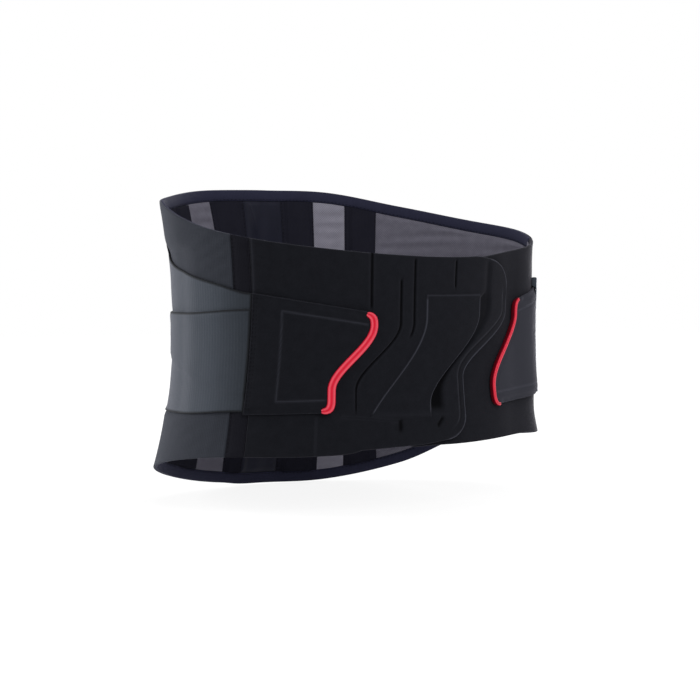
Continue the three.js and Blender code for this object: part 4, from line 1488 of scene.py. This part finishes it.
def row_height(row, low, high):
    """Rows keep their height in the sweeping part, and stretch to the flap's own edges beyond it."""
    above = HIGH_ROW + (row - HIGH_ROW) * (high - HIGH_ROW) / (front_top - HIGH_ROW)
    floor_row = LAND_HEIGHTS[0]
    below = floor_row - (floor_row - row) * (floor_row - low) / (floor_row - front_bottom)
    return np.where(row > HIGH_ROW, above, np.where(row < floor_row, below, row))


def window(value, low, high, ease=1.5):
    return smooth(value, low - ease, low) * (1 - smooth(value, high, high + ease))


def ridge(distance, width=RIDGE_WIDTH):
    """1 on a line and fading out to 0 a few widths from it."""
    return np.exp(-((distance / width) ** 2))


def distance_to(route, along, height):
    """The distance from each place to the nearest point of a route, on the flat cut."""
    nearest = np.full(np.shape(along), np.inf)
    for start, end in zip(route[:-1], route[1:]):
        run, rise = end[0] - start[0], end[1] - start[1]
        ahead, above = along - start[0], height - start[1]
        share = np.clip((ahead * run + above * rise) / (run * run + rise * rise), 0, 1)
        nearest = np.minimum(nearest, np.hypot(ahead - share * run, above - share * rise))
    return nearest


# The cut edge of the free end with both corners, as a route over the flat cut
corner_ats = END_AT - FLAP_TOP_CORNER * (1 - np.cos(np.linspace(0, math.pi / 2, 12)))[::-1]
low_corner_ats = END_AT - FLAP_BOTTOM_CORNER * (1 - np.cos(np.linspace(0, math.pi / 2, 9)))
end_heights = np.linspace(float(flap_top(END_AT)), float(flap_bottom(END_AT)), 40)[1:-1]
end_ats = np.concatenate([corner_ats, np.full_like(end_heights, END_AT), low_corner_ats])
route_heights = np.concatenate([flap_top(corner_ats), end_heights, flap_bottom(low_corner_ats)])
end_route = list(zip(end_ats - wave_shift(end_ats, route_heights), route_heights))


def flap_relief(at, row, along, height):
    """The moulded relief over the flap's plain face, where it takes painted highlights, and where it is darkened for
    pressed pile and painted shade.
    """
    relief, rubbed, pressed = np.zeros_like(at), np.zeros_like(at), np.zeros_like(at)

    # The grooves, each darkened for pressed pile and with painted shade, and with a faint painted highlight on both
    # sides
    for name, depth, low, high in GROOVES:
        from_line = at - MOULD_LINES[name][0]
        shown = window(row, low, high, 4)
        relief -= depth * ridge(from_line, GROOVE_WIDTH) * shown
        pressed += ridge(from_line, GROOVE_WIDTH) * shown
        rubbed += 0.08 * ridge(np.abs(from_line) - 2) * shown

    # The raised land, with painted highlights along its shoulders, most where they are upright
    start, end = MOULD_LINES["land start"][0], MOULD_LINES["land end"][0]
    low, high = LAND_HEIGHTS
    into_land = np.min([at - start, end - at, 0.35 * (row - low), high - row], axis=0)
    relief += LAND_HEIGHT * smooth(into_land, -0.7, 0.7)
    strength = np.where(row > high - 3, 0.3, np.where(row < low + 4, 0.06, 0.8))
    rubbed += strength * ridge(into_land - 0.6)

    # The valley between the land and the free end, which is narrower above the land. Its floor is darkened,
    # most in its lower part, by painted shadow and by its pressed pile.
    valley = MOULD_LINES["valley"][0]
    above_land = smooth(row, high - 4, high + 4)
    valley_start = end + 0.5 + (valley - 6 - end) * above_land
    valley_end = valley + 2 - above_land
    soft_start = valley_start + 2 + 5 * above_land
    floor_share = smooth(at, valley_start, soft_start) * (1 - smooth(at, valley_end, valley_end + 6))
    floor_share = floor_share * window(row, -58, 53, 6) * (1 - 0.4 * above_land)
    relief -= VALLEY_DEPTH * floor_share
    pressed += floor_share * (0.45 + 0.5 * smooth(-row, 0, 35))

    # The border pressed down along the free end, with a painted highlight line beside it and a painted shade
    # line inside its step, and a painted highlight along the cut edge
    from_end = distance_to(end_route, along, height)
    border = smooth(at, 40, 62) * within(row, (-82, -72), (25, 45))
    relief -= BORDER_DEPTH * (1 - smooth(from_end, BORDER_WIDTH - 0.8, BORDER_WIDTH + 0.8)) * border
    rubbed += 0.3 * ridge(from_end - BORDER_WIDTH - 0.9) * border
    rubbed += 0.75 * (1 - smooth(from_end, 0.7, 1.5)) * smooth(at, 35, 50)
    pressed += 0.4 * ridge(from_end - BORDER_WIDTH + 0.8, 0.8) * border

    # Two short notches below the land, darkened with painted shadow, the low line and fold beside them with
    # faint painted highlights, and a painted highlight line along the seam
    for notch in NOTCHES:
        from_notch = distance_to(notch, along, height)
        relief -= 1.0 * ridge(from_notch, 1.5)
        pressed += ridge(from_notch, 1.5)
    relief -= 0.15 * ridge(distance_to(LOW_LINE, along, height), 1.4)
    rubbed += 0.07 * ridge(distance_to(LOW_LINE, along, height) - 1)
    relief += 0.2 * ridge(distance_to(LOW_FOLD, along, height), 1.6)
    rubbed += 0.12 * ridge(distance_to(LOW_FOLD, along, height), 0.9)
    rubbed += 0.5 * ridge(distance_to(SEAM_HIGHLIGHT, along, height), 0.7)
    return relief, np.clip(rubbed, 0, 1), np.clip(pressed, 0, 1)


def crowd_near(lines, low, high, near, step):
    """Rising values from low to high with a fine step round each line and a coarse one elsewhere."""
    fine = [line + offset for line in lines for offset in near if low < line + offset < high]
    coarse = np.linspace(low, high, math.ceil((high - low) / step) + 1)
    kept = [value for value in coarse if all(abs(value - other) > step / 2 for other in fine)]
    return [low, high, *fine, *kept]


around_line = [-2.6, -1.9, -1.3, -0.8, -0.4, 0, 0.4, 0.8, 1.3, 1.9, 2.6]
rim_steps = [0.05, 0.2, 0.45, 0.8, 1.3]
corner_steps = [FLAP_TOP_CORNER * (1 - math.cos(turn)) for turn in np.linspace(0.15, 1.5, 12)]
flap_places = np.array(sorted({
    *crowd_near(line_places[1:-1], -SEAM, END_AT, around_line, FLAP_SPACING),
    *(END_AT - step for step in [*rim_steps, *corner_steps]),
    *(-SEAM + step for step in rim_steps),
}))
flap_rows = np.array(sorted({
    *crowd_near(FINE_ROWS, front_bottom, front_top, around_line, FLAP_SPACING),
    *(front_top - step for step in rim_steps),
    *(front_bottom + step for step in rim_steps),
}))


def flap_shape(across, upward):
    """Both faces of the flap with their marks, on places and rows that crowd round the moulded lines."""
    at = np.interp(across, np.linspace(0, 1, len(flap_places)), flap_places)
    row = np.interp(upward, np.linspace(0, 1, len(flap_rows)), flap_rows)
    low, high = flap_bottom(at), flap_top(at)
    height = row_height(row, low, high)
    along = at - wave_shift(at, height)
    edge = np.min([END_AT - at, at + SEAM, height - low, high - height], axis=0)
    half = FLAP / 2 * rounded(edge, FLAP_RIM)
    middle = -FLAP / 2
    relief, rubbed, pressed = flap_relief(at, row, along, height)
    relief = (relief + 0.6 * soft_waves(along, height)) * smooth(edge, 0, FLAP_RIM)
    return along, height, middle + half + relief, middle - half, edge, rubbed, pressed


right_front = put_on(cloth(len(flap_places) - 1, len(flap_rows) - 1, flap_shape), "right_front", loop_pile)
seam_at, flap_at = worn([(-SEAM - 1, 0, -1), (-SEAM + FLAP_BEND, 0, -1)])
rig.blend(right_front, "root", "right_flap", start=seam_at, end=flap_at)
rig.replaces(right_front, "right_flap")
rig.slot(right_front, "loop_fabric")
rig.sheet(right_front, **flat_cut(right_front), held="stretched", rests_on=[left_front])

right_front_mesh = put_on(panel(
    -SEAM,
    HOOK_START,
    lambda along: bottom_edge(along) + LINING_INSET,
    lambda along: top_edge(along) - LINING_INSET,
    -FLAP - CLEARANCE,
    LINING,
), "right_front_mesh", mesh_knit)
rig.blend(right_front_mesh, "root", "right_flap", start=seam_at, end=flap_at)
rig.replaces(right_front_mesh, "right_flap_lining")
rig.slot(right_front_mesh, "mesh_lining")
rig.sheet(right_front_mesh, **flat_cut(right_front_mesh), held="stretched", rests_on=[right_front])

# Hook tape: stiff nylon hooks in rows on a woven ground, black and slightly shiny
HOOK = 1
HOOK_PITCH = 1.7
HOOK_STEPS = 60


def hook_rows(tree, drawing):
    rows = {0: stripes(tree, drawing, 0, HOOK_PITCH), 1: stripes(tree, drawing, 1, HOOK_PITCH)}
    return add_node(tree, "Math", rows, operation="MULTIPLY").outputs[0]


hook_tape = dyed_cloth(
    "black nylon hook tape",
    hook_rows,
    tones=("#08090a", "#101114"),
    shade="#26272b",
    shade_share=0.8,
    patch=12,
    depth=0.0006,
    haze=(0, 0.5, "#ffffff"),
    Roughness=0.6,
    Specular_IOR_Level=0.3,
)


def hook_shape(across, upward):
    """The hook patch, from a straight end to one that follows the flap's free end."""
    start_line = np.array([HOOK_START, 0, END_CENTRE, END_SPAN])
    end_line = np.array([END_AT - HOOK_INSET, END_SWEEP, END_CENTRE, END_SPAN])
    at, sweep, centre, span = (
        first + (last - first) * crowded(across) for first, last in zip(start_line, end_line)
    )
    foot = at - sweep
    high = top_edge(at) - corner_cut(END_AT - at, FLAP_TOP_CORNER) - HOOK_INSET
    low = bottom_edge(foot) + corner_cut(END_AT - END_SWEEP - foot, FLAP_BOTTOM_CORNER) + HOOK_INSET
    height = low + (high - low) * crowded(upward)
    along = at - sweep * smooth(centre + span / 2 - height, 0, span)
    edge = np.min([END_AT - HOOK_INSET - at, at - HOOK_START, height - low, high - height], axis=0)
    half = HOOK / 2 * rounded(edge, HOOK / 2)
    out = np.full_like(along, -FLAP - CLEARANCE - HOOK / 2)
    return along, height, out + half, out - half, edge


flap_hook = put_on(cloth(HOOK_STEPS, HOOK_STEPS, hook_shape), "flap_hook", hook_tape)
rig.ride(flap_hook, "right_flap")
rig.replaces(flap_hook, "right_flap_hook")
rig.slot(flap_hook, "hook_fabric")
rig.sheet(flap_hook, **flat_cut(flap_hook), held="stretched", rests_on=[right_front])


# Pull tabs
# Loop fabric over foam, with hook tape below. Each is sewn to its two straps, and its free end follows the
# same kind of wave as the flap, with round corners. A pressed line runs round inside its edges, and its rim
# is pressed down towards the flap.
TAB = 2
TAB_CORNER = 6
TAB_ENDS = {RIGHT: (-69.5, 33, -20, 50), LEFT: (94, 39, -17, 58)}
TAB_END_HEIGHTS = {RIGHT: (-62.5, 15), LEFT: (-61, 24)}
TAB_BASE = 2 * CLEARANCE + HOOK
TAB_DIP = 1.3
TAB_LINE_DEPTH = 0.5
TAB_LINE_WIDTH = 0.7
TAB_LINE_IN = 10
TAB_LINE_FROM_SEAM = 24
TAB_HOOK_INSET = 7
TAB_BEND = 7
TAB_PUFF = 0.35
TAB_SPACING = 0.8
TAB_STEPS = 120
TAB_HOOK_STEPS = (40, 50)
TAB_STITCHES = (2.2, 4.6)
TAB_UNDER_CUFF = 0.9
TAB_LINE_HIGHLIGHT = 0.42
LEFT_TAB_PAINTED_LIGHT = 0.5
NO_DARK_EDGE = 3
CUFF = 0.9
CUFF_PAD = 3.1
CUFF_DIP = 0.8
CUFF_START = 137
CUFF_LOW = (-54.5, -55)
CUFF_HIGH = (42.5, 41)
CUFF_FACE = TAB_BASE + TAB + 0.5


def tab_outline(side, reach=TAB_CORNER):
    """The tab's cut edge from the low end of its seam, round its free end, to the high end of its seam. Its
    corners are rounded over a reach along both edges."""
    at, sweep, centre, span = TAB_ENDS[side]
    seam_low, seam_high = TAB_SEAM_HEIGHTS[side]
    end_low, end_high = TAB_END_HEIGHTS[side]

    def wave(height):
        return np.array([at - sweep * smooth(centre + span / 2 - height, 0, span), height])

    def seam(height):
        return np.array([side * (seam_distance(side, height) - CLEARANCE), height])

    def corner(height, towards_seam, towards_wave):
        tip = wave(height)
        before = tip + (towards_seam - tip) * reach / np.linalg.norm(towards_seam - tip)
        share = np.linspace(0, 1, 9)[:, None]
        return (1 - share) ** 2 * before + 2 * share * (1 - share) * tip + share ** 2 * towards_wave

    low_corner = corner(end_low, seam(seam_low), wave(end_low + reach))
    high_corner = corner(end_high, seam(seam_high), wave(end_high - reach))[::-1]
    middle = [wave(height) for height in np.linspace(end_low + reach, end_high - reach, 60)[1:-1]]
    free_end = np.concatenate([low_corner, middle, high_corner])
    return seam(seam_low), free_end, seam(seam_high)


def tab_face(side, along):
    return left_face(along) if side == LEFT else np.zeros_like(along)


def below_line(first, last, along, height):
    """How far a place lies below the straight line between two points."""
    run, rise = last[0] - first[0], last[1] - first[1]
    return (first[1] + rise * (along - first[0]) / run - height) * abs(run) / math.hypot(run, rise)


def tab_layer(side, columns, rows, dress, inset=0):
    """A layer of the tab. Its columns run from the seam to the free end, drawn in towards its middle by an
    inset, and dress gives its two faces and marks."""
    seam_low, free_end, seam_high = tab_outline(side)
    run = run_along(free_end)
    middle = (free_end.mean(axis=0) + (seam_low + seam_high) / 2) / 2
    shrink = 1 - 2 * inset / (seam_high[1] - seam_low[1])

    def shape(across, upward):
        place = crowded(upward) * run[-1]
        end = np.stack([np.interp(place, run, free_end[:, i]) for i in (0, 1)])
        share = (end[1] - free_end[0, 1]) / (free_end[-1, 1] - free_end[0, 1])
        seam_height = seam_low[1] + (seam_high[1] - seam_low[1]) * share
        seam = np.stack([side * (seam_distance(side, seam_height) - CLEARANCE), seam_height])
        spot = seam + (end - seam) * crowded(across)
        along, height = middle[:, None] + (spot - middle[:, None]) * shrink
        return along, height, *dress(along, height, seam_low, free_end, seam_high)

    return cloth(columns, rows, shape)


for side_name, side in SIDES:
    def dressed_tab(along, height, seam_low, free_end, seam_high):
        """The tab's two faces, with its pressed line and its dipped rim, a painted highlight on the line, and painted
        light over the whole left tab.
        """
        from_top = below_line(seam_high, free_end[-1], along, height)
        from_low = -below_line(seam_low, free_end[0], along, height)
        from_end = distance_to(free_end, along, height)
        from_seam = seam_distance(side, height) - CLEARANCE - np.abs(signed_place(along))
        from_side = np.minimum(from_top, from_low)
        edge = np.maximum(np.min([from_side, from_end, from_seam], axis=0), 0)
        half = TAB / 2 * rounded(edge, TAB / 2)
        dip = 1 - smooth(from_side, 1.5, 6.5)
        dip = TAB_DIP * dip * smooth(from_end, 3, 9) * smooth(from_seam, 0, 8)
        out = tab_face(side, along) + TAB_BASE + TAB / 2
        level = np.maximum(
            ridge(from_top - TAB_LINE_IN, TAB_LINE_WIDTH),
            ridge(from_low - TAB_LINE_IN, TAB_LINE_WIDTH),
        )
        past_start = smooth(from_seam, TAB_LINE_FROM_SEAM - 1, TAB_LINE_FROM_SEAM)
        level = level * past_start * smooth(from_end, 3, 6)
        inside = smooth(from_side, TAB_LINE_IN - 1, TAB_LINE_IN)
        line = np.maximum(level, ridge(from_seam - TAB_LINE_FROM_SEAM, TAB_LINE_WIDTH) * inside)
        puffed = TAB_PUFF * smooth(edge, 2, 7) * (1 - line)
        relief = puffed - TAB_LINE_DEPTH * line - dip
        rubbed = TAB_LINE_HIGHLIGHT * line
        if side == LEFT:
            under_cuff = smooth(along, CUFF_START - 1, CUFF_START + 1) * smooth(edge, 0, 1.5)
            relief = relief - TAB_UNDER_CUFF * under_cuff
            # Painted light: the whole left tab is lightened, and its pressed line most
            rubbed = LEFT_TAB_PAINTED_LIGHT + (1 - LEFT_TAB_PAINTED_LIGHT) * line
        return out + half + relief, out - half - dip, np.where(from_seam < 1, 2, edge), rubbed, line * 0

    width = TAB_SEAM - abs(TAB_ENDS[side][0])
    pull_tab = put_on(
        tab_layer(side, math.ceil(width / TAB_SPACING), TAB_STEPS, dressed_tab),
        f"pull_tab_{side_name}",
        loop_pile,
    )
    seam_at, tab_at = worn([(side * (TAB_SEAM - 1), -10, 2), (side * (TAB_SEAM - TAB_BEND), -10, 2)])
    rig.blend(pull_tab, f"{side_name}_flap", f"{side_name}_tab", start=seam_at, end=tab_at)
    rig.replaces(pull_tab, f"{side_name}_tab")
    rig.slot(pull_tab, "loop_fabric")
    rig.sheet(pull_tab, **flat_cut(pull_tab), held="stretched")

    def plain_hook(along, height, seam_low, free_end, seam_high):
        out = tab_face(side, along) + CLEARANCE + HOOK / 2
        half = np.full_like(along, HOOK / 2)
        return out + half, out - half, np.full_like(along, 5.0)

    tab_hook = put_on(
        tab_layer(side, *TAB_HOOK_STEPS, plain_hook, TAB_HOOK_INSET),
        f"tab_hook_tape_{side_name}",
        hook_tape,
    )
    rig.ride(tab_hook, f"{side_name}_tab")
    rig.replaces(tab_hook, f"{side_name}_tab_hook")
    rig.slot(tab_hook, "hook_fabric")

    tab_rows = bmesh.new()
    low, high = TAB_SEAM_HEIGHTS[side]
    sewn_face = TAB_BASE + TAB + STITCH_LIFT - (TAB_UNDER_CUFF if side == LEFT else 0)
    for from_seam in TAB_STITCHES:
        sew(tab_rows, [
            (side * (seam_distance(side, height) - from_seam), height, sewn_face)
            for height in np.linspace(low + STITCH_FROM_END, high - STITCH_FROM_END, 12)
        ])
    tab_stitches = put_on(tab_rows, f"tab_stitching_{side_name}", thread)
    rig.blend(tab_stitches, f"{side_name}_flap", f"{side_name}_tab", start=seam_at, end=tab_at)
    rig.slot(tab_stitches, "loop_fabric")

# On the wearer's left the strap's end is folded over the tab as a cuff, thicker above the tab's top edge
cuff_places = (CUFF_START, TAB_SEAM - 0.5)
tab_places = (TAB_ENDS[LEFT][0], TAB_SEAM)
tab_tops = (TAB_END_HEIGHTS[LEFT][1], TAB_SEAM_HEIGHTS[LEFT][1])


def cuff_depth(along, height):
    tab_top = np.interp(along, tab_places, tab_tops)
    return CUFF + CUFF_PAD * smooth(height, tab_top + 0.3, tab_top + 1.5)


cuff_cut = panel(
    *cuff_places,
    lambda along: np.interp(along, cuff_places, CUFF_LOW),
    lambda along: np.interp(along, cuff_places, CUFF_HIGH),
    lambda along, height: CUFF_FACE - CUFF_DIP * smooth(-height, 15, 45),
    cuff_depth,
    spacing=0.9,
    rim=0.5,
)
# The cuff is kept clear of the elastic's dark edges of selvedge and painted shadow
from_edge = cuff_cut.verts.layers.float["from_edge"]
for vertex in cuff_cut.verts:
    vertex[from_edge] += NO_DARK_EDGE
cuff = put_on(cuff_cut, "strap_cuff_left", elastic)
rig.blend(cuff, "left_flap", "left_tab", start=seam_at, end=tab_at)
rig.slot(cuff, "strap_elastic")
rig.sheet(cuff, **flat_cut(cuff), held="stretched", rests_on=["pull_tab_left"])


# Grips
# Crimson thermoplastic rubber moulded round each tab's free edge: two round ridges with a groove between
# them, running round the tab's corners and rounded off at both ends.
GRIP_IN = {RIGHT: 3.1, LEFT: 0.3}
GRIP_OUT = 3.3
GRIP_FLOOR = CLEARANCE + HOOK - 0.6
GRIP_TOP = 5.35
GRIP_GROOVE = 1.2
GRIP_GROOVE_SHARE = 1.25 / 2.85
GRIP_CORNER = 9
GRIP_CUT = (1.5, 3.5)
GRIP_END_IN = 1.4
GRIP_END_RUN = 8
GRIP_TIP = 0.7
GRIP_SQUARENESS = 0.6
GRIP_CREST = 0.5

# Thermoplastic rubber: satin from a fine spark-eroded mould, with some light passing into its edges. Its
# crimson shows in the groove, the ridges are paler with a painted highlight, and the sides darker with
# painted shade.
rubber, tree, drawing, shader = new_material("crimson thermoplastic rubber")
place = add_node(tree, "TexCoord").outputs["Object"]
flow = add_node(tree, "TexNoise", {"Vector": place, "Scale": 170, "Detail": 3}).outputs["Fac"]
deep = {0: flow, 6: linear("#d00c2c"), 7: linear("#da1535")}
pale = {0: flow, 6: linear("#ee5c6c"), 7: linear("#f56b7a")}
deep_red = add_node(tree, "Mix", deep, data_type="RGBA").outputs[2]
highlight_red = add_node(tree, "Mix", pale, data_type="RGBA").outputs[2]
crest = add_node(tree, "Attribute", attribute_name="ridge").outputs["Fac"]
on_top = add_node(tree, "MapRange", {"Value": crest, "From Min": -0.7, "From Max": 0}).outputs[0]
highlight_share = add_node(tree, "MapRange", {"Value": crest, "From Min": 0.2, "From Max": 0.9}).outputs[0]
# 5c0714 is painted shade on the bar's sides; the pale reds are a painted highlight on its ridges
side_shade_tones = {0: on_top, 6: linear("#5c0714"), 7: deep_red}
tint = add_node(tree, "Mix", side_shade_tones, data_type="RGBA").outputs[2]
tint = add_node(tree, "Mix", {0: highlight_share, 6: tint, 7: highlight_red}, data_type="RGBA").outputs[2]
tree.links.new(tint, shader.inputs["Base Color"])
shader.inputs["Roughness"].default_value = 0.38
shader.inputs["Specular IOR Level"].default_value = 0.15
shader.inputs["Subsurface Weight"].default_value = 0.05
shader.inputs["Subsurface Radius"].default_value = (1, 0.25, 0.2)
shader.inputs["Subsurface Scale"].default_value = 0.0012
spark = add_node(tree, "TexNoise", {"Vector": place, "Scale": 2000, "Detail": 2}).outputs["Fac"]
bump = add_node(tree, "Bump", {"Height": spark, "Strength": 0.12, "Distance": 0.0001})
tree.links.new(bump.outputs[0], shader.inputs["Normal"])


def grip_section(side, count=32):
    """The bar's cross section: out from the tab's edge, out from the belt, and how far it is a ridge."""
    half_width = (GRIP_IN[side] + GRIP_OUT) / 2
    half_height = (GRIP_TOP - GRIP_FLOOR) / 2
    points = []
    for turn in np.linspace(0, 2 * math.pi, count, endpoint=False):
        sine, cosine = math.sin(turn), math.cos(turn)
        across = half_width * math.copysign(abs(cosine) ** GRIP_SQUARENESS, cosine)
        upward = half_height * math.copysign(abs(sine) ** GRIP_SQUARENESS, sine)
        groove = math.exp(-((across / (GRIP_GROOVE_SHARE * half_width)) ** 2)) if upward > 0 else 0
        raised = (max(-1, (sine - GRIP_CREST) / (1 - GRIP_CREST))) * (1 - groove)
        points.append((across, upward - GRIP_GROOVE * groove, raised))
    return points


def grip_bar(side, count=150):
    """The section run round the tab's free end, drawn in and rounded off at both tips."""
    section = grip_section(side)
    rows = len(section)
    free_end = tab_outline(side, GRIP_CORNER)[1]
    ran = run_along(free_end)
    run = crowded(np.linspace(0, 1, count + 1)) * (ran[-1] - sum(GRIP_CUT))
    route = np.stack([np.interp(run + GRIP_CUT[0], ran, free_end[:, i]) for i in (0, 1)], axis=1)
    ahead = np.gradient(route, run, axis=0)
    ahead = ahead / np.linalg.norm(ahead, axis=1)[:, None]
    from_tip = np.minimum(run, run[-1] - run)
    tip = rounded(from_tip, (GRIP_IN[side] + GRIP_OUT) / 2)
    tip = tip * (GRIP_TIP + (1 - GRIP_TIP) * smooth(from_tip, 0, GRIP_END_RUN))
    middle_out = (GRIP_OUT - GRIP_IN[side]) / 2 - GRIP_END_IN * (1 - smooth(from_tip, 0, GRIP_END_RUN))
    middle_up = (GRIP_TOP + GRIP_FLOOR) / 2
    cut = bmesh.new()
    crest = cut.verts.layers.float.new("ridge")
    grid = bmesh.ops.create_grid(cut, x_segments=count, y_segments=rows, size=0.5)["verts"]
    for vertex in grid:
        column = round((vertex.co.x + 0.5) * count)
        across, upward, raised = section[round((vertex.co.y + 0.5) * rows) % rows]
        beside = middle_out[column] + across * tip[column]
        spot = route[column] + side * np.array([-ahead[column][1], ahead[column][0]]) * beside
        face = float(tab_face(side, route[column:column + 1, 0])[0])
        vertex.co = (spot[0], spot[1], face + middle_up + upward * tip[column])
        vertex[crest] = raised
    bmesh.ops.remove_doubles(cut, verts=cut.verts, dist=RIM_WELD)
    bmesh.ops.recalc_face_normals(cut, faces=cut.faces)
    return cut


for side_name, side in SIDES:
    grip = put_on(grip_bar(side), f"grip_{side_name}", rubber)
    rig.ride(grip, f"{side_name}_tab")
    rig.replaces(grip, f"{side_name}_grip")
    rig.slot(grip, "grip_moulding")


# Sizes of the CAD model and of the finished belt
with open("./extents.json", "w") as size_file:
    json.dump({
        "cad": [list(corner) for corner in cad_box],
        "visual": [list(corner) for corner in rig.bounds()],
    }, size_file)
